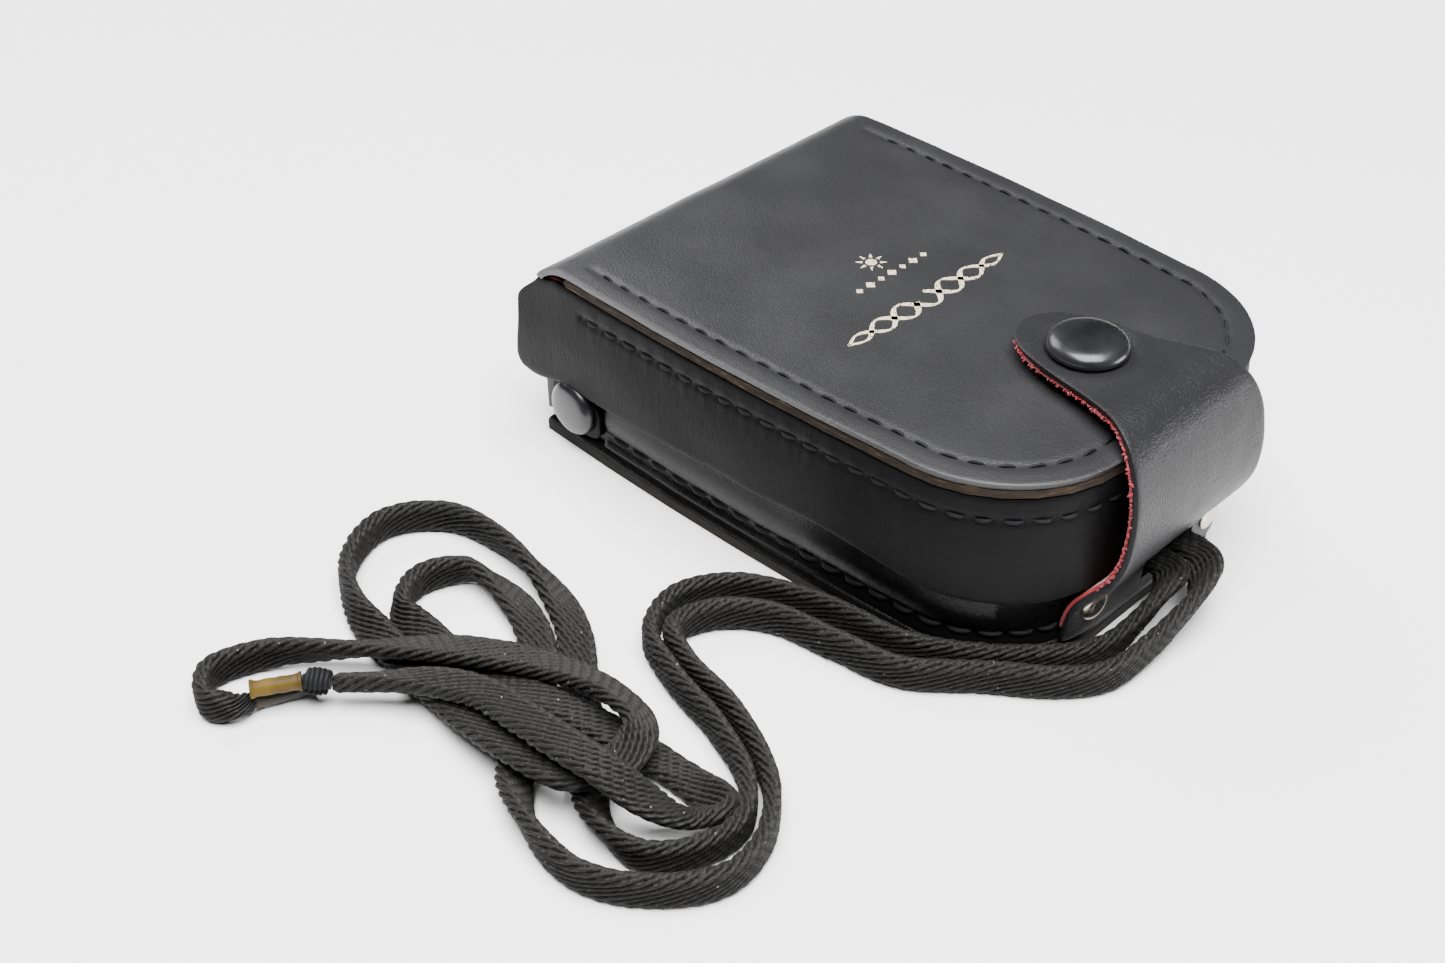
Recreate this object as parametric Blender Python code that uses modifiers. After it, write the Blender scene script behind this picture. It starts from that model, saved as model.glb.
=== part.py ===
"""Handheld exposure meter in its closed leather case, with a flat braided neck cord.

The case lies on its back. +X runs from the spine to the closing strap, +Z is up, and the
origin is under the middle of the case on the surface that it lies on.
"""
import math

import bmesh
import bpy
from mathutils import Vector

MM = 0.001

# --- Driving dimensions -------------------------------------------------------------------
GAP = 0.3 * MM                      # left between pieces that touch
CASE_LENGTH = 122 * MM              # spine to front edge of the lid panel
REAR_HALF_WIDTH = 44.3 * MM         # half the lid panel's width at the spine
FRONT_HALF_WIDTH = 42.6 * MM        # half its width where the front corners start
SIDE_BOW = 1.4 * MM                 # how far the long sides bulge between those places
CORNER_RADIUS = 27.4 * MM
CASE_HEIGHT = 43 * MM
LEATHER = 1.4 * MM
BOARD = 1.6 * MM
SUEDE = 0.8 * MM
HINGE_Z = 15.5 * MM                 # height at which the spine leather flexes
ROLL_RADIUS = 11 * MM               # outer radius of the spine where it rolls over the top
LID_WALL_LOW = 16.5 * MM
FLAP_REACH = 4.2 * MM               # how far the lid wall's free ends pass the spine
BASE_WALL_TOP = 25 * MM
WALL_INSET = 3.3 * MM               # the lower wall stands this far inside the lid's edge
SNAP_RADIUS = 7.6 * MM
SIDE_SNAP_RADIUS = 5.9 * MM
CORD_WIDTH = 6.6 * MM
CORD_THICK = 2.6 * MM
METER_LENGTH = 97 * MM
METER_WIDTH = 70 * MM
METER_HEIGHT = 30 * MM
METER_WALL = 1.8 * MM
DIAL_RADIUS = 29 * MM

FRONT_X = CASE_LENGTH / 2
REAR_X = -CASE_LENGTH / 2
STRAP_FOOT_TOP = 13.5 * MM


# --- Collections, materials and small helpers -----------------------------------------------
for old in list(bpy.data.objects):
    bpy.data.objects.remove(old, do_unlink=True)

PARTS = bpy.data.collections.new("light_meter")
CUTTERS = bpy.data.collections.new("cutters")
for group in (PARTS, CUTTERS):
    bpy.context.scene.collection.children.link(group)


def material(name, colour, roughness, metallic=0.0):
    made = bpy.data.materials.new(name)
    made.use_nodes = True
    shader = made.node_tree.nodes["Principled BSDF"]
    shader.inputs["Base Color"].default_value = (*colour, 1.0)
    shader.inputs["Roughness"].default_value = roughness
    shader.inputs["Metallic"].default_value = metallic
    return made


BLACK_LEATHER = material("black_leather", (0.012, 0.012, 0.013), 0.35)
BROWN_BOARD = material("leather_board", (0.06, 0.04, 0.03), 0.8)
RED_SUEDE = material("red_suede", (0.45, 0.02, 0.03), 0.95)
BRAID = material("black_braid", (0.03, 0.028, 0.026), 0.8)
BLACK_ENAMEL = material("black_enamel", (0.01, 0.01, 0.012), 0.12, 0.3)
NICKEL = material("nickel", (0.7, 0.66, 0.58), 0.25, 1.0)
STEEL = material("steel", (0.55, 0.56, 0.58), 0.3, 1.0)
BRASS = material("brass", (0.6, 0.42, 0.15), 0.35, 1.0)
AMBER_TUBE = material("amber_tube", (0.35, 0.2, 0.05), 0.3)
GREY_PLASTIC = material("grey_plastic", (0.16, 0.165, 0.17), 0.45)
BLACK_PLASTIC = material("black_plastic", (0.02, 0.02, 0.022), 0.4)
WHITE_PLASTIC = material("white_plastic", (0.8, 0.8, 0.77), 0.4)
CLEAR_PLASTIC = material("clear_plastic", (0.85, 0.88, 0.9), 0.05)
PRINTED_CARD = material("printed_plate", (0.75, 0.74, 0.68), 0.5)
RED_PAINT = material("red_paint", (0.6, 0.03, 0.02), 0.4)
COPPER = material("copper_wire", (0.6, 0.25, 0.1), 0.35, 1.0)
GREEN_BOARD = material("circuit_board", (0.05, 0.16, 0.07), 0.5)


def add_object(name, data, finish, group=PARTS):
    piece = bpy.data.objects.new(name, data)
    group.objects.link(piece)
    if finish:
        data.materials.append(finish)
    return piece


def from_bmesh(name, shape, finish, group=PARTS):
    data = bpy.data.meshes.new(name)
    shape.to_mesh(data)
    shape.free()
    return add_object(name, data, finish, group)


def smooth(piece, degrees=35):
    piece.data.shade_smooth()
    piece.data.set_sharp_from_angle(angle=math.radians(degrees))
    return piece


def solidify(piece, thickness, side=-1.0):
    wall = piece.modifiers.new("thickness", "SOLIDIFY")
    wall.thickness = thickness
    wall.offset = side
    wall.use_even_offset = True
    return piece


def cut(piece, cutter):
    cutter.hide_render = True
    cutter.display_type = "WIRE"
    hole = piece.modifiers.new("cut_" + cutter.name, "BOOLEAN")
    hole.object = cutter
    hole.operation = "DIFFERENCE"
    hole.solver = "EXACT"
    return piece


def box(name, low, high, finish, group=PARTS):
    low, high = Vector(low), Vector(high)
    shape = bmesh.new()
    bmesh.ops.create_cube(shape, size=1.0)
    bmesh.ops.scale(shape, verts=shape.verts, vec=high - low)
    piece = from_bmesh(name, shape, finish, group)
    piece.location = (low + high) / 2
    return piece


def rod(name, centre, radius, length, axis, finish, sides=32, group=PARTS):
    """A round bar of the given length, centred on centre, along axis."""
    shape = bmesh.new()
    bmesh.ops.create_cone(shape, cap_ends=True, segments=sides, radius1=radius,
                          radius2=radius, depth=length)
    turn = Vector((0, 0, 1)).rotation_difference(Vector(axis)).to_matrix()
    bmesh.ops.rotate(shape, verts=shape.verts, matrix=turn)
    piece = from_bmesh(name, shape, finish, group)
    piece.location = centre
    return smooth(piece) if group is PARTS else piece


def turned(name, centre, profile, axis, finish, steps=40):
    """A turned shape: profile holds (radius, height) pairs from the outer top downwards."""
    shape = bmesh.new()
    points = [shape.verts.new((r, 0, z)) for r, z in profile]
    for first, second in zip(points, points[1:]):
        shape.edges.new((first, second))
    piece = from_bmesh(name, shape, finish)
    screw = piece.modifiers.new("turn", "SCREW")
    screw.steps = screw.render_steps = steps
    screw.use_merge_vertices = True
    screw.merge_threshold = 0.00001
    piece.location = centre
    piece.rotation_mode = "QUATERNION"
    piece.rotation_quaternion = Vector((0, 0, 1)).rotation_difference(Vector(axis))
    return piece


def plate(name, outline, low_z, high_z, finish, group=PARTS):
    """A flat plate: a filled outline in XY between two heights."""
    curve = bpy.data.curves.new(name, "CURVE")
    curve.dimensions = "2D"
    curve.fill_mode = "BOTH"
    curve.extrude = (high_z - low_z) / 2
    edge = curve.splines.new("POLY")
    edge.points.add(len(outline) - 1)
    for point, (x, y) in zip(edge.points, outline):
        point.co = (x, y, 0, 1)
    edge.use_cyclic_u = True
    flat = add_object(name + "_outline", curve, None, CUTTERS)
    flat.location.z = (low_z + high_z) / 2
    bpy.context.view_layer.update()
    solid = bpy.data.meshes.new_from_object(flat.evaluated_get(
        bpy.context.evaluated_depsgraph_get()))
    shape = bmesh.new()
    shape.from_mesh(solid)
    bmesh.ops.remove_doubles(shape, verts=shape.verts, dist=0.00001)
    piece = from_bmesh(name, shape, finish, group)
    piece.matrix_world = flat.matrix_world
    bpy.data.objects.remove(flat, do_unlink=True)
    return piece


def ribbon(name, pairs, thickness, finish, closed=False, side=-1.0):
    """A sheet through pairs of edge points, thickened to one side."""
    shape = bmesh.new()
    rows = [[shape.verts.new(a), shape.verts.new(b)] for a, b in pairs]
    ends = zip(rows, rows[1:] + rows[:1]) if closed else zip(rows, rows[1:])
    for (a, b), (c, d) in ends:
        shape.faces.new((a, c, d, b))
    return solidify(from_bmesh(name, shape, finish), thickness, side)


# --- Outlines of the case -------------------------------------------------------------------
def half_width(x, inset=0.0):
    """Half the case's width at x, between the spine and the front corners."""
    run = FRONT_X - CORNER_RADIUS - REAR_X
    t = (x - REAR_X) / run
    straight = REAR_HALF_WIDTH + (FRONT_HALF_WIDTH - REAR_HALF_WIDTH) * t
    return straight + 4 * SIDE_BOW * t * (1 - t) - inset


def near_side(inset, rear_x, side_steps=5, corner_steps=6):
    """Points of the near long side and front corner, from rear to front."""
    corner_x = FRONT_X - CORNER_RADIUS
    points = []
    for n in range(side_steps):
        x = rear_x + (corner_x - rear_x) * n / side_steps
        points.append((x, -half_width(x, inset)))
    radius = CORNER_RADIUS - inset
    middle_y = -half_width(corner_x) + CORNER_RADIUS
    for n in range(corner_steps + 1):
        angle = math.radians(-90 + 90 * n / corner_steps)
        points.append((corner_x + radius * math.cos(angle),
                       middle_y + radius * math.sin(angle)))
    return points


def case_outline(inset, rear_x, side_steps=5, corner_steps=6):
    near = near_side(inset, rear_x, side_steps, corner_steps)
    return near + [(x, -y) for x, y in reversed(near)]


def standing(outline, low_z, high_z):
    return [((x, y, low_z), (x, y, high_z)) for x, y in outline]


# --- Lower half of the case -----------------------------------------------------------------
def make_base():
    board = case_outline(1.4 * MM, REAR_X + 1.4 * MM)
    plate("base_board", board, 0, 2.2 * MM, BROWN_BOARD)
    wall_rear = REAR_X + 2.8 * MM
    foot = case_outline(WALL_INSET, wall_rear)
    welt_inner = case_outline(5.2 * MM, wall_rear + 2 * MM)
    welt = [((*outer, 3.7 * MM), (*inner, 3.7 * MM)) for outer, inner in zip(board, welt_inner)]
    ribbon("base_welt", welt, 1.2 * MM, BLACK_LEATHER, closed=True)
    ribbon("base_wall", standing(foot, 4.0 * MM, BASE_WALL_TOP), BOARD, BLACK_LEATHER, True)
    tray_inset = WALL_INSET + BOARD + GAP
    tray = plate("base_lining", case_outline(tray_inset, wall_rear + BOARD + GAP, 4, 5),
                 4.0 * MM, BASE_WALL_TOP - 0.8 * MM, RED_SUEDE)
    inner = case_outline(tray_inset + SUEDE, wall_rear + BOARD + GAP + SUEDE, 4, 5)
    cut(tray, plate("tray_hollow", inner, 4.0 * MM + SUEDE, CASE_HEIGHT, None, CUTTERS))


def make_rear_wrap():
    """The leather that wraps the base's rear wall and snaps to both of its sides."""
    reach_x = -43.5 * MM
    outer_x = REAR_X + LEATHER + 0.2 * MM
    side_inset = 2.0 * MM
    corner = 1.2 * MM
    near = [(reach_x, -half_width(reach_x, side_inset)),
            (-52 * MM, -half_width(-52 * MM, side_inset)),
            (outer_x + corner, -half_width(outer_x + corner, side_inset)),
            (outer_x + 0.25 * corner, -half_width(outer_x, side_inset) + 0.25 * corner),
            (outer_x, -half_width(outer_x, side_inset) + corner)]
    path = near + [(x, -y) for x, y in reversed(near)]
    ribbon("rear_wrap", standing(path, 4.0 * MM, 13.6 * MM), 0.9 * MM, BLACK_LEATHER, side=1.0)
    for side, place in ((-1, "near"), (1, "far")):
        x, z = -50.5 * MM, 10.1 * MM
        y = side * half_width(x, side_inset)
        cap = [(0, 2.6 * MM), (3.2 * MM, 2.4 * MM), (5.0 * MM, 1.8 * MM),
               (SIDE_SNAP_RADIUS, 0.9 * MM), (SIDE_SNAP_RADIUS, 0.0), (0, 0)]
        turned("side_snap_cap_" + place, (x, y + side * 0.45 * MM, z), cap, (0, side, 0),
               BLACK_ENAMEL, 32)


def front_face_x(y, inset):
    """x of the front of an outline at y."""
    corner_y = half_width(FRONT_X - CORNER_RADIUS) - CORNER_RADIUS
    past = max(abs(y) - corner_y, 0.0)
    radius = CORNER_RADIUS - inset
    return FRONT_X - CORNER_RADIUS + math.sqrt(radius**2 - past**2)


def make_strap_foot():
    """The end of the closing strap that two rivets hold to the base, with the cord's slit."""
    thick = LEATHER + SUEDE
    inset = WALL_INSET - GAP - thick
    span = [y * MM for y in (-24, -21, -18, -15, 0, 15, 18, 21, 24)]
    path = [(front_face_x(y, inset), y) for y in span]
    foot = ribbon("strap_foot", standing(path, 4.2 * MM, STRAP_FOOT_TOP), thick, BLACK_LEATHER)
    slit = box("cord_slit", (FRONT_X - 6 * MM, -3 * MM, 7.8 * MM),
               (FRONT_X + 5 * MM, 12.4 * MM, 11.4 * MM), None, CUTTERS)
    cut(foot, slit)
    head = [(0, 1.0 * MM), (1.8 * MM, 0.9 * MM), (3.1 * MM, 0.4 * MM), (3.1 * MM, 0), (0, 0)]
    for side, place in ((-1, "near"), (1, "far")):
        turned("strap_rivet_" + place, (FRONT_X - inset + GAP, side * 18 * MM, 10.6 * MM), head,
               (1, 0, 0), NICKEL, 24)


# --- Lid --------------------------------------------------------------------------------------
def lid_rows(inset, depth, low_z):
    """Edge pairs of a sheet that follows the lid's top, rolls over and runs down the spine."""
    top_z = CASE_HEIGHT - depth
    radius = ROLL_RADIUS - depth
    centre_x, centre_z = REAR_X + ROLL_RADIUS, CASE_HEIGHT - ROLL_RADIUS
    rows = []
    near = near_side(inset, centre_x + 3 * MM, 5, 7)
    for x, y in reversed(near):
        rows.append(((x, y, top_z), (x, -y, top_z)))
    spine_half = 41.0 * MM - min(inset, 0.6 * MM)
    top_half = half_width(centre_x, inset)
    for n in range(8):
        angle = math.radians(90 + 90 * n / 7)
        half = spine_half + (top_half - spine_half) * max(0.0, 1 - n / 2)
        x, z = centre_x + radius * math.cos(angle), centre_z + radius * math.sin(angle)
        rows.append(((x, -half, z), (x, half, z)))
    for z in (centre_z - 6 * MM, low_z):
        rows.append(((REAR_X + depth, -spine_half, z), (REAR_X + depth, spine_half, z)))
    return rows


def make_lid():
    spine_low = HINGE_Z + 0.3 * MM
    ribbon("lid_cover", lid_rows(0.0, 0.0, spine_low), LEATHER, BLACK_LEATHER, side=1.0)
    board_top = CASE_HEIGHT - LEATHER - GAP
    board = case_outline(0.3 * MM, REAR_X + ROLL_RADIUS, 5, 7)
    plate("lid_board", board, board_top - BOARD, board_top, BROWN_BOARD)
    lining_depth = LEATHER + BOARD + 2 * GAP
    plate("lid_lining", case_outline(0.6 * MM, REAR_X + ROLL_RADIUS, 5, 7),
          CASE_HEIGHT - lining_depth - SUEDE, CASE_HEIGHT - lining_depth, RED_SUEDE)
    wall_top = CASE_HEIGHT - lining_depth - SUEDE - GAP
    rear = REAR_X - FLAP_REACH
    rows = []
    for x, y in near_side(0.3 * MM, REAR_X + 10 * MM, 5, 7):
        rows.append(((x, y, LID_WALL_LOW), (x, y, wall_top)))
    flap = []
    for reach, low, drop in ((0, 3.0, 12.0), (2.2, 0.6, 8.6), (7.0, 0.0, 3.6), (11.0, 0.0, 0.9)):
        x = rear + reach * MM
        y = -half_width(x, 0.3 * MM)
        flap.append(((x, y, LID_WALL_LOW + low * MM), (x, y, wall_top - drop * MM)))
    near = flap + rows
    far = [((a[0], -a[1], a[2]), (b[0], -b[1], b[2])) for a, b in reversed(near)]
    ribbon("lid_wall", near + far, LEATHER, BLACK_LEATHER)
    stud = [(0, 2.4 * MM), (1.7 * MM, 2.2 * MM), (1.9 * MM, 1.7 * MM), (1.5 * MM, 1.1 * MM),
            (3.6 * MM, 0.7 * MM), (3.6 * MM, 0), (0, 0)]
    turned("lid_snap_stud", (40.3 * MM, 0, CASE_HEIGHT + GAP), stud, (0, 0, 1), NICKEL, 24)


# --- Closing strap ------------------------------------------------------------------------------
STRAP_SIDE = [  # x, z and half width in mm of the strap's outer face, from the foot to the tip
    (62.2, 14.0, 21.0), (64.4, 17.4, 20.6), (66.2, 22.4, 20.3), (66.9, 28.2, 20.0),
    (66.7, 34.0, 19.6), (65.6, 39.6, 19.0), (63.4, 44.2, 18.0), (60.0, 47.0, 16.4),
    (55.6, 47.9, 14.4), (50.6, 47.7, 12.8), (46.0, 47.4, 11.8), (41.5, 47.4, 11.0),
    (37.0, 47.4, 9.9), (32.4, 47.4, 8.3), (28.8, 47.4, 6.2), (26.6, 47.4, 3.4)]


def strap_rows(depth, trim):
    """Edge pairs of a sheet that lies depth below the strap's outer face."""
    rows = []
    last = len(STRAP_SIDE) - 1
    for n, (x, z, half) in enumerate(STRAP_SIDE):
        before, after = STRAP_SIDE[max(n - 1, 0)], STRAP_SIDE[min(n + 1, last)]
        run = Vector((after[0] - before[0], 0, after[1] - before[1])).normalized()
        inwards = Vector((run.z * -1, 0, run.x))
        spot = Vector((x, 0, z)) * MM + inwards * depth
        edge = half * MM - trim
        rows.append(((spot.x, -edge, spot.z), (spot.x, edge, spot.z)))
    return rows


def make_strap():
    ribbon("closing_strap", strap_rows(0, 0), LEATHER, BLACK_LEATHER, side=1.0)
    lining = ribbon("strap_lining", strap_rows(LEATHER + GAP, 0.4 * MM), SUEDE, RED_SUEDE,
                    side=1.0)
    socket_x, top = 40.3 * MM, 47.4 * MM
    hole = rod("socket_hole", (socket_x, 0, top - 2 * MM), 5.2 * MM, 3 * MM, (0, 0, 1), None,
               24, CUTTERS)
    cut(lining, hole)
    cap = [(0, 3.0 * MM), (4.0 * MM, 2.8 * MM), (6.3 * MM, 2.2 * MM), (SNAP_RADIUS, 1.2 * MM),
           (SNAP_RADIUS, 0.1 * MM), (0, 0.1 * MM)]
    turned("strap_snap_cap", (socket_x, 0, top + 0.2 * MM), cap, (0, 0, 1), BLACK_ENAMEL, 40)
    ring = [(4.8 * MM, 0.9 * MM), (4.8 * MM, 0), (2.3 * MM, 0), (2.3 * MM, 0.9 * MM),
            (4.8 * MM, 0.9 * MM)]
    turned("strap_snap_socket", (socket_x, 0, top - LEATHER - 1.3 * MM), ring, (0, 0, 1),
           NICKEL, 24)


# --- Neck cord ----------------------------------------------------------------------------------
# Route points: x, y, z in millimetres and the tilt in degrees (0 on edge, 90 lying flat).
CORD_A_ROUTE = [
    (61.2, 1.0, 9.6, 90), (64.6, 0.0, 9.6, 75), (66.0, -5.0, 8.4, 30), (65.9, -11.0, 6.2, 15),
    (64.6, -20.5, 3.6, 0),
    (57.0, -31.0, 3.4, 0), (41.0, -43.2, 3.4, 0), (20.5, -47.2, 3.4, 0), (6.0, -54.2, 3.4, 0),
    (0.5, -64.4, 3.4, 0), (3.9, -74.0, 3.4, 0), (14.1, -78.6, 3.4, 0), (29.9, -82.4, 3.4, 0),
    (41.7, -87.6, 3.4, 0), (47.4, -94.5, 3.4, 0), (46.6, -103.5, 3.4, 0), (40.4, -110.8, 3.4, 0),
    (29.5, -110.4, 3.5, 40), (18.0, -101.8, 1.5, 90), (5.1, -92.0, 1.5, 90),
    (-9.8, -81.1, 2.0, 80), (-29.3, -76.4, 3.7, 20), (-47.9, -78.5, 3.4, 0),
    (-55.3, -88.8, 3.4, 0), (-50.9, -100.4, 3.4, 0), (-39.1, -107.5, 3.7, 20),
    (-27.1, -108.4, 1.7, 85), (-9.1, -110.8, 3.9, 90), (11.5, -111.9, 7.4, 90),
    (23.2, -109.7, 8.4, 90), (25.6, -100.0, 7.3, 75), (23.6, -94.6, 9.2, 55),
    (15.6, -93.3, 9.8, 60), (1.4, -95.4, 8.0, 80), (-13.3, -103.5, 7.7, 85),
    (-29.6, -115.7, 5.2, 40), (-41.1, -126.8, 3.6, 5), (-43.7, -136.3, 3.4, 0),
    (-38.1, -140.4, 3.4, 0), (-34.3, -137.6, 3.2, 25), (-33.9, -133.6, 2.0, 75)]
CORD_B_ROUTE = [
    (61.2, 8.4, 9.6, 90), (66.6, 7.4, 9.5, 75), (70.6, 0.5, 8.4, 25), (71.0, -7.0, 6.6, 15),
    (70.6, -14.5, 4.6, 5), (69.3, -24.0, 3.4, 0), (64.3, -31.6, 3.4, 0), (53.9, -40.0, 3.4, 0),
    (42.4, -49.6, 3.4, 0), (29.6, -52.5, 3.4, 0), (16.2, -55.4, 3.4, 0), (8.0, -62.7, 3.4, 0),
    (6.4, -70.8, 3.4, 0), (14.0, -74.6, 3.4, 0), (30.0, -78.0, 3.4, 0), (45.6, -85.8, 3.4, 0),
    (52.7, -95.4, 3.4, 0), (53.5, -104.7, 3.4, 0), (47.3, -114.0, 3.4, 0), (36.7, -120.3, 3.4, 0),
    (24.4, -119.7, 3.6, 10), (14.6, -115.2, 3.1, 55), (7.5, -107.5, 1.5, 90),
    (3.4, -102.4, 1.4, 90), (-7.6, -90.6, 1.5, 90), (-20.3, -85.1, 2.5, 70),
    (-32.7, -85.9, 3.7, 20), (-37.3, -94.1, 3.4, 0), (-33.2, -102.0, 3.7, 20),
    (-24.9, -101.9, 2.2, 80), (-11.0, -102.5, 3.2, 90), (5.2, -100.0, 5.9, 90),
    (19.8, -96.1, 4.4, 90), (33.6, -92.9, 1.5, 90), (43.0, -94.5, 3.5, 40), (40.9, -100.1, 4.2, 60),
    (36.0, -105.3, 8.8, 90), (28.5, -108.0, 12.6, 90), (20.0, -109.0, 13.0, 90),
    (9.8, -108.7, 11.2, 90), (-2.1, -108.2, 8.4, 90), (-12.3, -112.2, 6.8, 90),
    (-19.4, -117.9, 5.6, 60), (-24.7, -122.8, 5.2, 60)]


def smooth_route(route, count):
    """count points, evenly spaced, on a smooth curve through the route's points."""
    points = [Vector(p) for p in route]
    knots = [0.0]
    for a, b in zip(points, points[1:]):
        knots.append(knots[-1] + math.sqrt((b.xyz - a.xyz).length))
    slopes = []
    for n, here in enumerate(points):
        if 0 < n < len(points) - 1:
            back, ahead = knots[n] - knots[n - 1], knots[n + 1] - knots[n]
            slopes.append(((here - points[n - 1]) / back * ahead
                           + (points[n + 1] - here) / ahead * back) / (back + ahead))
        else:
            a, b = (0, 1) if n == 0 else (n - 1, n)
            slopes.append((points[b] - points[a]) / (knots[b] - knots[a]))
    fine = []
    for n in range(len(points) - 1):
        step = knots[n + 1] - knots[n]
        for k in range(24):
            t = k / 24
            fine.append(points[n] * (2 * t**3 - 3 * t**2 + 1)
                        + points[n + 1] * (3 * t**2 - 2 * t**3)
                        + slopes[n] * step * (t**3 - 2 * t**2 + t)
                        + slopes[n + 1] * step * (t**3 - t**2))
    fine.append(points[-1])
    along = [0.0]
    for a, b in zip(fine, fine[1:]):
        along.append(along[-1] + (b.xyz - a.xyz).length)
    even, n = [], 0
    for k in range(count):
        wanted = along[-1] * k / (count - 1)
        while n < len(along) - 2 and along[n + 1] < wanted:
            n += 1
        share = (wanted - along[n]) / (along[n + 1] - along[n])
        even.append(fine[n].lerp(fine[n + 1], min(share, 1.0)))
    return even


def make_cord(name, route, count):
    """A flat braid: a curve whose rounded section is wider than it is thick."""
    curve = bpy.data.curves.new(name, "CURVE")
    curve.dimensions = "3D"
    curve.twist_mode = "Z_UP"
    curve.fill_mode = "FULL"
    curve.bevel_depth = CORD_THICK / 2
    curve.extrude = (CORD_WIDTH - CORD_THICK) / 2
    curve.bevel_resolution = 1
    curve.use_fill_caps = True
    line = curve.splines.new("POLY")
    points = smooth_route(route, count)
    points.insert(0, points[0] - Vector((2.6, 0, 0, 0)))
    line.points.add(len(points) - 1)
    for point, spot in zip(line.points, points):
        point.co = (spot.x * MM, spot.y * MM, spot.z * MM, 1)
        point.tilt = math.radians(spot.w)
    return add_object(name, curve, BRAID)


def end_piece(name, start, end, radius, finish, sides=16):
    start, end = Vector(start) * MM, Vector(end) * MM
    return rod(name, (start + end) / 2, radius, (end - start).length, end - start, finish, sides)


def make_cords():
    make_cord("neck_cord_a", CORD_A_ROUTE, 40)
    make_cord("neck_cord_b", CORD_B_ROUTE, 38)
    end_piece("aglet_a", (-33.5, -132.4, 1.8), (-29.5, -123.6, 1.75), 1.6 * MM, AMBER_TUBE)
    end_piece("cord_whipping", (-25.6, -123.6, 5.3), (-28.2, -125.9, 5.5), 2.5 * MM, BRAID, 12)
    end_piece("aglet_b", (-28.6, -126.5, 5.5), (-33.5, -134.2, 5.35), 1.6 * MM, BRASS)


# --- The meter inside the case --------------------------------------------------------------------
METER_REAR = -54 * MM
METER_FRONT = METER_REAR + METER_LENGTH
METER_LOW = 5.4 * MM
METER_TOP = METER_LOW + METER_HEIGHT
SPLIT_Z = METER_LOW + 12 * MM
DIAL_X = -20 * MM
PIVOT_X = 15 * MM
CELL_Z = 25.5 * MM
DOOR_X, DOOR_Y = -34 * MM, 12 * MM


def rounded_rectangle(low_x, high_x, half_y, radius, steps=5):
    points = []
    for cx, cy, start in ((high_x - radius, half_y - radius, 0),
                          (low_x + radius, half_y - radius, 90),
                          (low_x + radius, -half_y + radius, 180),
                          (high_x - radius, -half_y + radius, 270)):
        for n in range(steps + 1):
            angle = math.radians(start + 90 * n / steps)
            points.append((cx + radius * math.cos(angle), cy + radius * math.sin(angle)))
    return points


def meter_outline(inset):
    return rounded_rectangle(METER_REAR + inset, METER_FRONT - inset, METER_WIDTH / 2 - inset,
                             9 * MM - inset)


def round_hole(name, x, y, radius, low_z, high_z, sides=32):
    return rod(name, (x, y, (low_z + high_z) / 2), radius, high_z - low_z, (0, 0, 1), None,
               sides, CUTTERS)


SCREW_PLACES = [(METER_REAR + 8 * MM, -27 * MM), (METER_REAR + 8 * MM, 27 * MM),
                (METER_FRONT - 8 * MM, -27 * MM), (METER_FRONT - 8 * MM, 27 * MM)]


def make_shells():
    back = plate("meter_back_shell", meter_outline(0), METER_LOW, SPLIT_Z, GREY_PLASTIC)
    cut(back, plate("back_hollow", meter_outline(METER_WALL), METER_LOW + METER_WALL,
                    SPLIT_Z + 1 * MM, None, CUTTERS))
    floor = (METER_LOW - 1 * MM, METER_LOW + METER_WALL + 1 * MM)
    cut(back, round_hole("door_hole", DOOR_X, DOOR_Y, 10.8 * MM, *floor))
    cut(back, round_hole("zero_hole", PIVOT_X, 0, 2.3 * MM, *floor))
    front = plate("meter_front_shell", meter_outline(0), SPLIT_Z + GAP, METER_TOP, GREY_PLASTIC)
    cut(front, plate("front_hollow", meter_outline(METER_WALL), SPLIT_Z, METER_TOP - METER_WALL,
                     None, CUTTERS))
    cut(front, round_hole("hub_hole", DIAL_X, 0, 2.3 * MM, METER_TOP - 4 * MM, METER_TOP + 1 * MM))
    cut(front, box("scale_opening", (14 * MM, -23 * MM, METER_TOP - 4 * MM),
                   (38 * MM, 23 * MM, METER_TOP + 1 * MM), None, CUTTERS))
    cut(front, box("switch_opening", (-9 * MM, -METER_WIDTH / 2 - 1 * MM, 21.5 * MM),
                   (9 * MM, -METER_WIDTH / 2 + 4 * MM, 30.5 * MM), None, CUTTERS))
    cut(front, rod("cell_hole", (METER_FRONT, 0, CELL_Z), 7.3 * MM, 8 * MM, (1, 0, 0), None, 32,
                   CUTTERS))
    for n, (x, y) in enumerate(SCREW_PLACES, 1):
        cut(back, round_hole("screw_hole_%d" % n, x, y, 2.6 * MM, *floor, 20))
        shaft = [(0, METER_LOW + 10 * MM), (1.2 * MM, METER_LOW + 10 * MM),
                 (1.2 * MM, METER_LOW + 1.4 * MM), (2.2 * MM, METER_LOW + 1.2 * MM),
                 (2.2 * MM, METER_LOW + 0.2 * MM), (0, METER_LOW + 0.2 * MM)]
        turned("meter_screw_%d" % n, (x, y, 0), shaft, (0, 0, 1), STEEL, 20)


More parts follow.
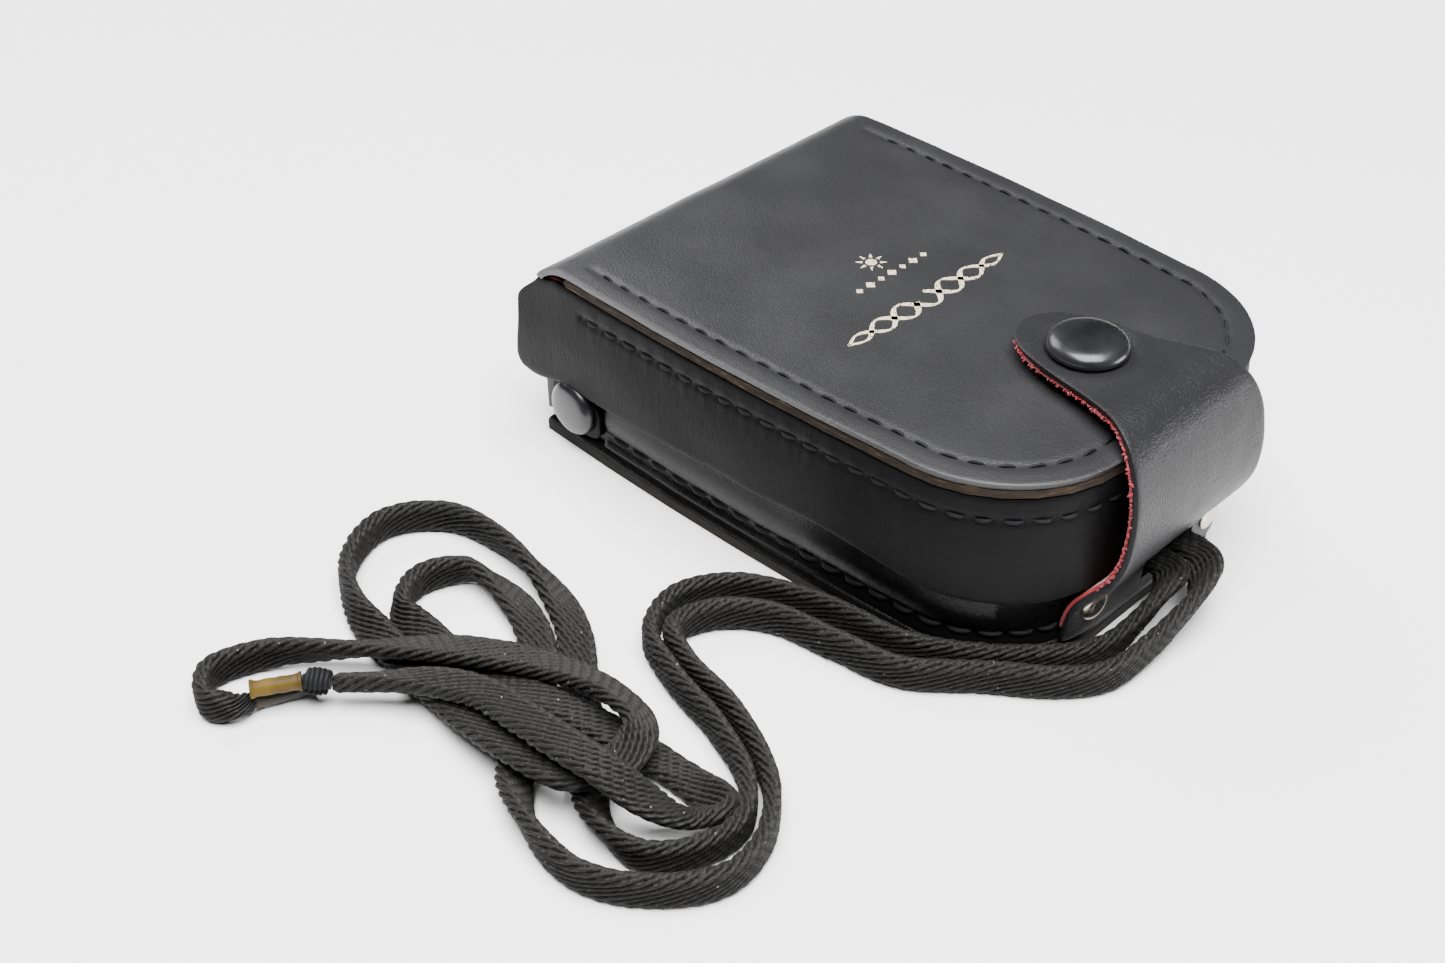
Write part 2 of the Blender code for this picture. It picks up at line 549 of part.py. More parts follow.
def make_movement():
    """The moving-coil movement with its pointer, over a printed scale behind a window."""
    box("scale_window", (14.3 * MM, -22.7 * MM, METER_TOP - 1.5 * MM),
        (37.7 * MM, 22.7 * MM, METER_TOP - 0.2 * MM), CLEAR_PLASTIC)
    card = box("scale_plate", (11 * MM, -25 * MM, 28.0 * MM), (38.2 * MM, 25 * MM, 28.8 * MM),
               PRINTED_CARD)
    cut(card, round_hole("pivot_hole", PIVOT_X, 0, 1.6 * MM, 27 * MM, 30 * MM, 16))
    ring = [(9 * MM, 27.7 * MM), (9 * MM, 19.9 * MM), (5.2 * MM, 19.9 * MM), (5.2 * MM, 27.7 * MM),
            (9 * MM, 27.7 * MM)]
    turned("magnet_yoke", (PIVOT_X, 0, 0), ring, (0, 0, 1), STEEL)
    coil = [(0, 29.4 * MM), (0.8 * MM, 29.4 * MM), (0.8 * MM, 26.2 * MM), (4.6 * MM, 26.2 * MM),
            (4.6 * MM, 20.6 * MM), (0, 20.6 * MM)]
    turned("moving_coil", (PIVOT_X, 0, 0), coil, (0, 0, 1), COPPER, 24)
    pillar = [(9 * MM, 19.6 * MM), (9 * MM, 9.4 * MM), (1.6 * MM, 9.4 * MM), (1.6 * MM, 19.6 * MM),
              (9 * MM, 19.6 * MM)]
    turned("movement_frame", (PIVOT_X, 0, 0), pillar, (0, 0, 1), BRASS)
    turning_box("pointer_needle", (-3 * MM, -0.35 * MM, -0.25 * MM),
                (20 * MM, 0.35 * MM, 0.25 * MM), (PIVOT_X, 0, 30 * MM), RED_PAINT, -38)
    board = box("circuit_board", (-20 * MM, -30 * MM, 7.5 * MM), (30 * MM, 30 * MM, 9.1 * MM),
                GREEN_BOARD)
    cut(board, round_hole("board_hole", PIVOT_X, 0, 3 * MM, 6 * MM, 10 * MM, 20))
    screw = [(0, 18.4 * MM), (1.1 * MM, 18.4 * MM), (1.1 * MM, METER_LOW + 1.6 * MM),
             (2.0 * MM, METER_LOW + 1.5 * MM), (2.0 * MM, METER_LOW + 0.2 * MM),
             (0, METER_LOW + 0.2 * MM)]
    turned("zero_screw", (PIVOT_X, 0, 0), screw, (0, 0, 1), BRASS, 20)


def turning_box(name, low, high, origin, finish, degrees=0):
    """A box given from its own pivot, which stands at origin, turned about Z."""
    low, high = Vector(low), Vector(high)
    shape = bmesh.new()
    bmesh.ops.create_cube(shape, size=1.0)
    bmesh.ops.scale(shape, verts=shape.verts, vec=high - low)
    bmesh.ops.translate(shape, verts=shape.verts, vec=(low + high) / 2)
    piece = from_bmesh(name, shape, finish)
    piece.location = origin
    piece.rotation_euler.z = math.radians(degrees)
    return piece


def make_dial():
    """The computing dial: a turning outer ring, a film speed disc inside it and their hub."""
    low = METER_TOP + GAP
    ring = [(DIAL_RADIUS - 1.2 * MM, low + 2.3 * MM), (DIAL_RADIUS, low + 1.6 * MM),
            (DIAL_RADIUS, low), (20.9 * MM, low), (20.9 * MM, low + 1.8 * MM),
            (22.0 * MM, low + 2.3 * MM), (DIAL_RADIUS - 1.2 * MM, low + 2.3 * MM)]
    turned("dial_ring", (DIAL_X, 0, 0), ring, (0, 0, 1), BLACK_PLASTIC, 48)
    disc = [(19.6 * MM, low + 1.6 * MM), (20.5 * MM, low + 1.2 * MM), (20.5 * MM, low),
            (2.3 * MM, low), (2.3 * MM, low + 1.6 * MM), (19.6 * MM, low + 1.6 * MM)]
    turned("speed_disc", (DIAL_X, 0, 0), disc, (0, 0, 1), PRINTED_CARD, 48)
    hub = [(0, low + 2.5 * MM), (3.0 * MM, low + 2.4 * MM), (3.4 * MM, low + 1.9 * MM),
           (1.9 * MM, low + 1.9 * MM), (1.9 * MM, METER_TOP - 3.2 * MM), (0, METER_TOP - 3.2 * MM)]
    turned("dial_hub", (DIAL_X, 0, 0), hub, (0, 0, 1), NICKEL, 24)


def make_cell():
    """The photocell behind its window, and the white dome that slides across it."""
    turned("cell_window", (METER_FRONT - 1.6 * MM, 0, CELL_Z),
           [(0, 1.5 * MM), (5.0 * MM, 1.3 * MM), (7.0 * MM, 0.8 * MM), (7.0 * MM, 0), (0, 0)],
           (1, 0, 0), CLEAR_PLASTIC, 32)
    rod("photocell", (METER_FRONT - 3.2 * MM, 0, CELL_Z), 5.5 * MM, 2.4 * MM, (1, 0, 0),
        BLACK_PLASTIC)
    track_x = METER_FRONT + GAP
    track = box("dome_track", (track_x, -12 * MM, 15.5 * MM),
                (track_x + 1.4 * MM, 27 * MM, 35.0 * MM), BLACK_PLASTIC)
    cut(track, rod("track_hole", (track_x, 0, CELL_Z), 7.6 * MM, 8 * MM, (1, 0, 0), None, 32,
                   CUTTERS))
    dome = [(0, 9.0 * MM), (2.6 * MM, 8.6 * MM), (5.0 * MM, 7.2 * MM), (6.8 * MM, 5.0 * MM),
            (7.8 * MM, 2.6 * MM), (8.0 * MM, 1.2 * MM), (9.4 * MM, 1.2 * MM), (9.4 * MM, 0),
            (6.6 * MM, 0), (6.4 * MM, 2.6 * MM), (5.4 * MM, 4.6 * MM), (3.8 * MM, 6.2 * MM),
            (0, 7.6 * MM)]
    turned("diffuser_dome", (track_x + 1.7 * MM, 0, CELL_Z), dome, (1, 0, 0), WHITE_PLASTIC, 32)


def make_switch_and_batteries():
    face_y = -METER_WIDTH / 2 - 0.3 * MM
    turning_box("range_switch", (-8 * MM, -2.7 * MM, -4 * MM), (8 * MM, 1.6 * MM, 4 * MM),
                (0, face_y + 2.7 * MM, 26 * MM), BLACK_PLASTIC)
    door = turned("battery_door", (DOOR_X, DOOR_Y, METER_LOW),
                  [(0, 1.6 * MM), (10.2 * MM, 1.6 * MM), (10.4 * MM, 1.3 * MM),
                   (10.4 * MM, 0.1 * MM), (0, 0.1 * MM)], (0, 0, 1), BLACK_PLASTIC)
    slot = box("coin_slot", (-6 * MM, -0.9 * MM, -1 * MM), (6 * MM, 0.9 * MM, 0.8 * MM), None,
               CUTTERS)
    slot.location += door.location
    cut(door, slot)
    sleeve = [(10 * MM, 21 * MM), (10 * MM, 7.5 * MM), (8.2 * MM, 7.5 * MM), (8.2 * MM, 21 * MM),
              (10 * MM, 21 * MM)]
    turned("battery_sleeve", (DOOR_X, DOOR_Y, 0), sleeve, (0, 0, 1), BLACK_PLASTIC, 32)
    for n in range(2):
        cell = [(0, 6.1 * MM), (5.6 * MM, 6.1 * MM), (5.6 * MM, 5.5 * MM), (7.2 * MM, 5.3 * MM),
                (7.8 * MM, 4.6 * MM), (7.8 * MM, 0), (0, 0)]
        turned("battery_%d" % (n + 1), (DOOR_X, DOOR_Y, (7.6 + 6.5 * n) * MM), cell, (0, 0, 1),
               STEEL, 28)
    contact = [(0, 22.6 * MM), (8.6 * MM, 22.6 * MM), (8.6 * MM, 21.4 * MM), (4 * MM, 21.4 * MM),
               (2.4 * MM, 20.5 * MM), (0, 20.5 * MM)]
    turned("battery_contact", (DOOR_X, DOOR_Y, 0), contact, (0, 0, 1), BRASS, 24)


def main():
    make_base()
    make_rear_wrap()
    make_strap_foot()
    make_lid()
    make_strap()
    make_cords()
    make_shells()
    make_movement()
    make_dial()
    make_cell()
    make_switch_and_batteries()


main()
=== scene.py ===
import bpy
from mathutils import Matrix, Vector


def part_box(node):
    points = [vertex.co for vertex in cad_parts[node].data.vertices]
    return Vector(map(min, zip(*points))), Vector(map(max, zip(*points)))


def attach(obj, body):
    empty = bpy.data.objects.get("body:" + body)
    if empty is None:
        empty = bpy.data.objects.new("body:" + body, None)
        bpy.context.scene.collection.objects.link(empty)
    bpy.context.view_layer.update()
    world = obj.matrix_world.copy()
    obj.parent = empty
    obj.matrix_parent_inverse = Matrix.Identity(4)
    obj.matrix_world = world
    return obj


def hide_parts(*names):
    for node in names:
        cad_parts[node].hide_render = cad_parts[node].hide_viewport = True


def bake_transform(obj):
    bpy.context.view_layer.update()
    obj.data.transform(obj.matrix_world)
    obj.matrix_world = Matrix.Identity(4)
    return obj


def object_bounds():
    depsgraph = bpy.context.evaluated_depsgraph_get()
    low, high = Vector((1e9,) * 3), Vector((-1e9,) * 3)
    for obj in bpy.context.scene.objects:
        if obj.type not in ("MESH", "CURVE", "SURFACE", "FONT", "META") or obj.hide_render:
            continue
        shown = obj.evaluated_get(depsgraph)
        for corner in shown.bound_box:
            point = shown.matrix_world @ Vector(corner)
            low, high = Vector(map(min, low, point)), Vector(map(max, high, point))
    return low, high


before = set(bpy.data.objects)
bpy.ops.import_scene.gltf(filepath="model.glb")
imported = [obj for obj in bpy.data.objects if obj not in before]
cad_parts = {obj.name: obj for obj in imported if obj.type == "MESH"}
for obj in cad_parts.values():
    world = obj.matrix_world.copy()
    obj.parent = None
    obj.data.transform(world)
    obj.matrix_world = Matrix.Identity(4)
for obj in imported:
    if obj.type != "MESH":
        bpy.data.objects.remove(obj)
CAD_BOX = [list(corner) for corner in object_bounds()]

import math
import random

import bmesh
import bpy
from bpy.props import FloatProperty, FloatVectorProperty, IntProperty, PointerProperty
from mathutils import Matrix, Vector, noise

bl_info = {
    "name": "Leather meter case",
    "version": (1, 0, 0),
    "blender": (4, 5, 0),
    "location": "View3D > Sidebar > Meter case",
    "description": "Builds a light meter's leather case, its neck cord and its setting",
    "category": "Object",
}

MM = 0.001

# Outline of the case, in metres
FRONT_X = 61 * MM
REAR_X = -61 * MM
REAR_HALF = 44.3 * MM
FRONT_HALF = 42.6 * MM
SIDE_BOW = 1.4 * MM
CORNER = 27.4 * MM
TOP_Z = 43 * MM
ROLL = 11 * MM
LEATHER = 1.4 * MM
SUEDE = 0.8 * MM
WALL_TOP = 39.3 * MM
FLAP_X = -66 * MM
SNAP_X = 40.3 * MM


# --- Shared shape helpers ---------------------------------------------------------------------
def deselect():
    if bpy.context.object and bpy.context.object.mode != "OBJECT":
        bpy.ops.object.mode_set(mode="OBJECT")
    bpy.ops.object.select_all(action="DESELECT")


def make_active(piece):
    deselect()
    piece.select_set(True)
    bpy.context.view_layer.objects.active = piece


def apply_modifier(piece, kind, **values):
    make_active(piece)
    change = piece.modifiers.new(kind.lower(), kind)
    for key, value in values.items():
        setattr(change, key, value)
    bpy.ops.object.modifier_apply(modifier=change.name)


def smooth(piece, degrees=40):
    make_active(piece)
    bpy.ops.object.shade_smooth_by_angle(angle=math.radians(degrees))


def face_outwards(piece):
    make_active(piece)
    bpy.ops.object.mode_set(mode="EDIT")
    bpy.ops.mesh.select_all(action="SELECT")
    bpy.ops.mesh.normals_make_consistent(inside=False)
    bpy.ops.object.mode_set(mode="OBJECT")


def finish_piece(piece, body, finishes):
    piece.data.materials.clear()
    for finish in finishes:
        piece.data.materials.append(finish)
    if body:
        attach(piece, body)
    return piece


def sheet(name, columns, rows, place, inside=None, skip=None):
    """A grid of leather or cloth, whose points place(u, v) puts where they belong."""
    deselect()
    bpy.ops.mesh.primitive_grid_add(x_subdivisions=columns, y_subdivisions=rows, size=1)
    piece = bpy.context.object
    piece.name = piece.data.name = name
    shape = bmesh.new()
    shape.from_mesh(piece.data)
    layer = shape.loops.layers.uv.verify()
    for face in shape.faces:
        for loop in face.loops:
            loop[layer].uv = (loop.vert.co.x + 0.5, loop.vert.co.y + 0.5)
    for vert in shape.verts:
        vert.co = place(vert.co.x + 0.5, vert.co.y + 0.5)
    bmesh.ops.remove_doubles(shape, verts=shape.verts, dist=0.001 * MM)
    if skip:
        gone = [face for face in shape.faces if skip(face.calc_center_median())]
        bmesh.ops.delete(shape, geom=gone, context="FACES")
    if inside is not None:
        shape.normal_update()
        facing = sum(face.normal.dot(face.calc_center_median() - inside) for face in shape.faces)
        if facing < 0:
            bmesh.ops.reverse_faces(shape, faces=shape.faces)
    shape.to_mesh(piece.data)
    shape.free()
    return piece


def thicken(piece, thickness, edge=0.25 * MM, even=True):
    """Gives a sheet its thickness inwards; the cut edge takes the second finish."""
    for _ in range(2):
        piece.data.materials.append(None)
    apply_modifier(piece, "SOLIDIFY", thickness=thickness, offset=-1.0, use_even_offset=even,
                   material_offset_rim=1)
    if edge:
        apply_modifier(piece, "BEVEL", width=edge, segments=2, limit_method="ANGLE",
                       angle_limit=math.radians(60))
    smooth(piece)


def turned(name, rings, place, axis, steps=48, bands=None):
    """A round piece drawn up ring by ring from its foot; bands give each ring's finish."""
    deselect()
    radius, height = rings[0]
    bpy.ops.mesh.primitive_circle_add(vertices=steps, radius=radius, fill_type="NGON",
                                      location=(0, 0, 0))
    piece = bpy.context.object
    piece.name = piece.data.name = name
    bpy.ops.object.mode_set(mode="EDIT")
    bpy.ops.mesh.select_all(action="SELECT")
    bpy.ops.transform.translate(value=(0, 0, height))
    for wider, higher in rings[1:]:
        bpy.ops.mesh.extrude_region_move(
            TRANSFORM_OT_translate={"value": (0, 0, higher - height)})
        bpy.ops.transform.resize(value=(wider / radius, wider / radius, 1))
        radius, height = wider, higher
    bpy.ops.object.mode_set(mode="OBJECT")
    face_outwards(piece)
    if bands:
        for n in range(max(bands.values()) + 1):
            piece.data.materials.append(None)
        levels = [z for _, z in rings]
        radii = [r for r, _ in rings]
        for face in piece.data.polygons:
            spans = [piece.data.vertices[v].co for v in face.vertices]
            key = sum(co.z for co in spans) / len(spans)
            wide = sum(co.xy.length for co in spans) / len(spans)
            near = min(range(len(levels) - 1), key=lambda n: abs(
                (levels[n] + levels[n + 1]) / 2 - key) + abs((radii[n] + radii[n + 1]) / 2 - wide))
            face.material_index = bands.get(near, 0)
    turn = Vector((0, 0, 1)).rotation_difference(Vector(axis)).to_matrix().to_4x4()
    piece.data.transform(Matrix.Translation(Vector(place)) @ turn)
    smooth(piece, 35)
    return piece


def join_mesh(name, verts, faces):
    """One object from lists of points and faces, entered as a single mesh."""
    data = bpy.data.meshes.new(name)
    data.from_pydata(verts, [], faces)
    data.update()
    piece = bpy.data.objects.new(name, data)
    bpy.context.scene.collection.objects.link(piece)
    return piece


def add_tube(verts, faces, points, radii, sides=8, up=Vector((0, 0, 1))):
    """Adds a closed round tube along points to the lists."""
    base = len(verts)
    for n, spot in enumerate(points):
        ahead = points[min(n + 1, len(points) - 1)] - points[max(n - 1, 0)]
        ahead.normalize()
        side = ahead.cross(up)
        side = side.normalized() if side.length > 1e-6 else ahead.orthogonal().normalized()
        top = side.cross(ahead)
        for k in range(sides):
            angle = 2 * math.pi * k / sides
            verts.append(spot + (side * math.cos(angle) + top * math.sin(angle)) * radii[n])
    for n in range(len(points) - 1):
        for k in range(sides):
            a, b = base + n * sides + k, base + n * sides + (k + 1) % sides
            faces.append((a, a + sides, b + sides, b))
    last = base + (len(points) - 1) * sides
    faces.append(tuple(base + k for k in range(sides)))
    faces.append(tuple(last + k for k in reversed(range(sides))))


# --- Outlines ---------------------------------------------------------------------------------
def half_width(x, inset=0.0):
    run = FRONT_X - CORNER - REAR_X
    t = min((x - REAR_X) / run, 1.0)
    return REAR_HALF + (FRONT_HALF - REAR_HALF) * t + 4 * SIDE_BOW * t * (1 - t) - inset


CORNER_X = FRONT_X - CORNER
CORNER_Y = half_width(CORNER_X) - CORNER


def depth_inside(x, y):
    """How far a point of the lid's top lies inside its edge."""
    if x <= CORNER_X:
        return half_width(x) - abs(y)
    if abs(y) <= CORNER_Y:
        return FRONT_X - x
    return CORNER - math.hypot(x - CORNER_X, abs(y) - CORNER_Y)


def distances(points):
    """How far along a line each of its points lies."""
    along = [0.0]
    for a, b in zip(points, points[1:]):
        along.append(along[-1] + (b - a).length)
    return along


def spaced_out(fine, along, count):
    """count points evenly spaced on a line of fine points that lie at the distances along."""
    spots, n = [], 0
    for k in range(count):
        wanted = along[-1] * k / (count - 1)
        while n < len(along) - 2 and along[n + 1] < wanted:
            n += 1
        share = (wanted - along[n]) / max(along[n + 1] - along[n], 1e-9)
        spots.append(fine[n].lerp(fine[n + 1], min(share, 1.0)))
    return spots


def case_path(inset, rear_x, step=0.8 * MM, closed=False):
    """Points, outward directions and distances along the near side, the front and the far side."""
    half = []
    count = max(int((CORNER_X - rear_x) / step), 2)
    for n in range(count):
        x = rear_x + (CORNER_X - rear_x) * n / count
        half.append((Vector((x, -half_width(x, inset))), Vector((0, -1))))
    radius = CORNER - inset
    count = max(int(radius * math.pi / 2 / step), 3)
    for n in range(count + 1):
        angle = -math.pi / 2 + math.pi / 2 * n / count
        out = Vector((math.cos(angle), math.sin(angle)))
        half.append((Vector((CORNER_X, -CORNER_Y)) + out * radius, out))
    count = max(int(CORNER_Y / step), 2)
    front = [(Vector((FRONT_X - inset, -CORNER_Y + CORNER_Y * n / count)), Vector((1, 0)))
             for n in range(1, count + 1)]
    near = half + front
    far = [(Vector((p.x, -p.y)), Vector((o.x, -o.y))) for p, o in reversed(near[:-1])]
    path = near + far
    if closed:
        first, last = path[0][0], path[-1][0]
        count = max(int((last - first).length / step), 2)
        path += [(last.lerp(first, n / count), Vector((-1, 0))) for n in range(1, count + 1)]
    return path, distances([spot for spot, _ in path])


def at_distance(path, along, distance):
    low, high = 0, len(along) - 1
    while high - low > 1:
        middle = (low + high) // 2
        if along[middle] <= distance:
            low = middle
        else:
            high = middle
    share = (distance - along[low]) / max(along[high] - along[low], 1e-9)
    share = min(max(share, 0.0), 1.0)
    spot = path[low][0].lerp(path[high][0], share)
    out = path[low][1].lerp(path[high][1], share).normalized()
    return spot, out


def bell(value, width):
    return math.exp(-(value / width) ** 2)


def ease(value):
    value = min(max(value, 0.0), 1.0)
    return value * value * (3 - 2 * value)


def ripple(spot, size, seed=0.0):
    """Slow unevenness between about -1 and 1, as in leather that isn't quite flat."""
    return noise.noise(spot / size + Vector((seed, seed * 1.7, -seed)))


# --- Finishes ---------------------------------------------------------------------------------
def feed(node, inputs):
    """Sets a node's inputs, or links those whose value is another node's output."""
    for key, value in inputs.items():
        if isinstance(value, bpy.types.NodeSocket):
            node.id_data.links.new(value, node.inputs[key])
        else:
            node.inputs[key].default_value = value


def add_node(tree, kind, inputs=None, **values):
    made = tree.nodes.new("ShaderNode" + kind)
    for key, value in values.items():
        setattr(made, key, value)
    feed(made, inputs or {})
    return made


def new_finish(name):
    """A new material with its node tree, its shader and the piece's own coordinates."""
    made = bpy.data.materials.new(name)
    made.use_nodes = True
    tree = made.node_tree
    coords = add_node(tree, "TexCoord").outputs["Object"]
    return made, tree, tree.nodes["Principled BSDF"], coords


def mixed(tree, factor, first, second):
    made = add_node(tree, "Mix", {0: factor}, data_type="RGBA")
    for socket, value in ((6, first), (7, second)):
        plain = isinstance(value, tuple)
        feed(made, {socket: (*value[:3], 1.0) if plain else value})
    return made.outputs[2]


def ranged(tree, source, low, high, to_low=0, to_high=1):
    made = add_node(tree, "MapRange", {"Value": source, "From Min": low, "From Max": high,
                                       "To Min": to_low, "To Max": to_high})
    return made.outputs["Result"]


def speckle(tree, coords, scale, detail, roughness=0.5):
    made = add_node(tree, "TexNoise", {"Vector": coords, "Scale": scale, "Detail": detail,
                                       "Roughness": roughness})
    return made.outputs["Fac"]


def bumped(tree, height, strength, distance, under=None):
    """Relief made by a height, laid over the relief under it."""
    made = add_node(tree, "Bump", {"Height": height, "Strength": strength,
                                   "Distance": distance})
    if under:
        feed(made, {"Normal": under})
    return made.outputs["Normal"]


def leather(name, colour, worn, cell, depth, shine, roughness, coat, creases=None):
    """Grained leather: pebbles parted by creases, with a finer tooth on them."""
    made, tree, shader, coords = new_finish(name)
    wander = add_node(tree, "TexNoise", {"Vector": coords, "Scale": 0.35 / cell, "Detail": 2.0})
    shift = add_node(tree, "VectorMath", {0: wander.outputs["Color"], 1: (cell * 1.6,) * 3,
                                          2: coords}, operation="MULTIPLY_ADD")
    pebble = add_node(tree, "TexVoronoi", {"Vector": shift.outputs[0], "Scale": 1.0 / cell},
                      feature="DISTANCE_TO_EDGE")
    height = ranged(tree, pebble.outputs["Distance"], 0.0, 0.22)
    tooth = bumped(tree, speckle(tree, coords, 3.2 / cell, 3.0), 0.35, depth * 0.5)
    surface = bumped(tree, height, 0.7, depth, tooth)
    if creases:
        stretch = add_node(tree, "Mapping", {"Vector": coords, "Scale": creases})
        fold = speckle(tree, stretch.outputs[0], 1.0, 3.0)
        surface = bumped(tree, fold, 0.6, depth * 3, surface)
    cloud = speckle(tree, coords, 45.0, 5.0)
    feed(shader, {
        "Base Color": mixed(tree, ranged(tree, cloud, 0.42, 0.72), colour, worn),
        "Roughness": ranged(tree, cloud, 0.3, 0.7, roughness - 0.02, roughness + 0.03),
        "Normal": surface, "Specular IOR Level": shine, "Coat Weight": coat,
        "Coat Roughness": 0.3})
    return made


def cut_edge(name, dark, brown, tan):
    """The cut edge of leather board: thin streaks of fibre, dyed unevenly."""
    made, tree, shader, coords = new_finish(name)
    layers = add_node(tree, "Mapping", {"Vector": coords, "Scale": (240, 240, 2600)})
    streak = speckle(tree, layers.outputs[0], 1.0, 6.0, 0.65)
    first = mixed(tree, ranged(tree, streak, 0.35, 0.62), dark, brown)
    feed(shader, {"Base Color": mixed(tree, ranged(tree, streak, 0.6, 0.72), first, tan),
                  "Normal": bumped(tree, streak, 0.8, 0.12 * MM), "Roughness": 0.8,
                  "Specular IOR Level": 0.12})
    return made


def suede(name, colour, shade):
    """Napped suede, brushed darker and lighter in patches."""
    made, tree, shader, coords = new_finish(name)
    brush = ranged(tree, speckle(tree, coords, 160.0, 3.0), 0.35, 0.65)
    nap = speckle(tree, coords, 1500.0, 4.0)
    feed(shader, {"Base Color": mixed(tree, brush, shade, colour),
                  "Normal": bumped(tree, nap, 0.9, 0.25 * MM), "Roughness": 0.95,
                  "Sheen Weight": 0.35})
    return made


def braid(name, dark, light, speck):
    """Plied strands: fine slanting yarns over each strand, with a few bright fibres; the gaps
    between strands and the grooves between yarns are darkened as painted shade.
    """
    made, tree, shader, coords = new_finish(name)
    along = add_node(tree, "UVMap", uv_map="along").outputs["UV"]
    slant = add_node(tree, "Mapping", {"Vector": along, "Rotation": (0, 0, math.radians(-52))})
    ply = add_node(tree, "TexWave", {"Vector": slant.outputs[0], "Scale": 330.0,
                                     "Distortion": 1.6, "Detail": 2.0,
                                     "Detail Scale": 1.5}).outputs["Fac"]
    strand = add_node(tree, "Attribute", attribute_name="strand").outputs["Fac"]
    # Painted shade: the low sides of each strand and the gaps between strands take the dark colour,
    # the crests the cord's own colour.
    base = mixed(tree, ranged(tree, strand, 0.35, 0.95), dark, light)
    # Painted shade in the grooves between the slanting yarns, up to 55% of the way to the dark
    # colour.
    shaded = mixed(tree, ranged(tree, ply, 0.0, 0.6, 0.55, 0.0), base, dark)
    fibre = add_node(tree, "TexVoronoi", {"Vector": coords, "Scale": 330.0})
    bright = ranged(tree, fibre.outputs["Distance"], 0.0, 0.07, 1.0, 0.0)
    yarns = bumped(tree, ply, 0.8, 0.16 * MM)
    feed(shader, {"Base Color": mixed(tree, bright, shaded, speck),
                  "Normal": bumped(tree, speckle(tree, coords, 900.0, 3.0), 0.4, 0.1 * MM,
                                   yarns),
                  "Roughness": 0.6, "Specular IOR Level": 0.2, "Sheen Weight": 0.03})
    return made


def hard(name, colour, roughness, metallic=0.0, tint=None, size=900.0, depth=0.02 * MM,
         coat=0.0, clear=0.0, spread=0.08, shine=0.5):
    """Metal, enamel or moulded plastic, with fine unevenness in its colour and gloss."""
    made, tree, shader, coords = new_finish(name)
    smear = speckle(tree, coords, 120.0, 3.0)
    tint = tint or tuple(min(c * 1.35 + 0.004, 1.0) for c in colour)
    feed(shader, {
        "Base Color": mixed(tree, ranged(tree, smear, 0.4, 0.7), colour, tint),
        "Roughness": ranged(tree, smear, 0.3, 0.7, max(roughness - spread, 0.03),
                            roughness + spread),
        "Normal": bumped(tree, speckle(tree, coords, size, 4.0), 0.25, depth),
        "Metallic": metallic, "Specular IOR Level": shine, "Coat Weight": coat,
        "Coat Roughness": 0.18, "Transmission Weight": clear})
    return made


def foil(name, gold, under):
    """Pressed foil that has flaked down to the leather in places."""
    made, tree, shader, coords = new_finish(name)
    lost = ranged(tree, speckle(tree, coords, 1900.0, 5.0), 0.56, 0.62)
    feed(shader, {"Base Color": mixed(tree, lost, gold, under), "Roughness": 0.45,
                  "Metallic": 0.25})
    return made


def dimmed(colour, share, more=0.0):
    return tuple(c * share + more for c in colour)


FINISH = {}


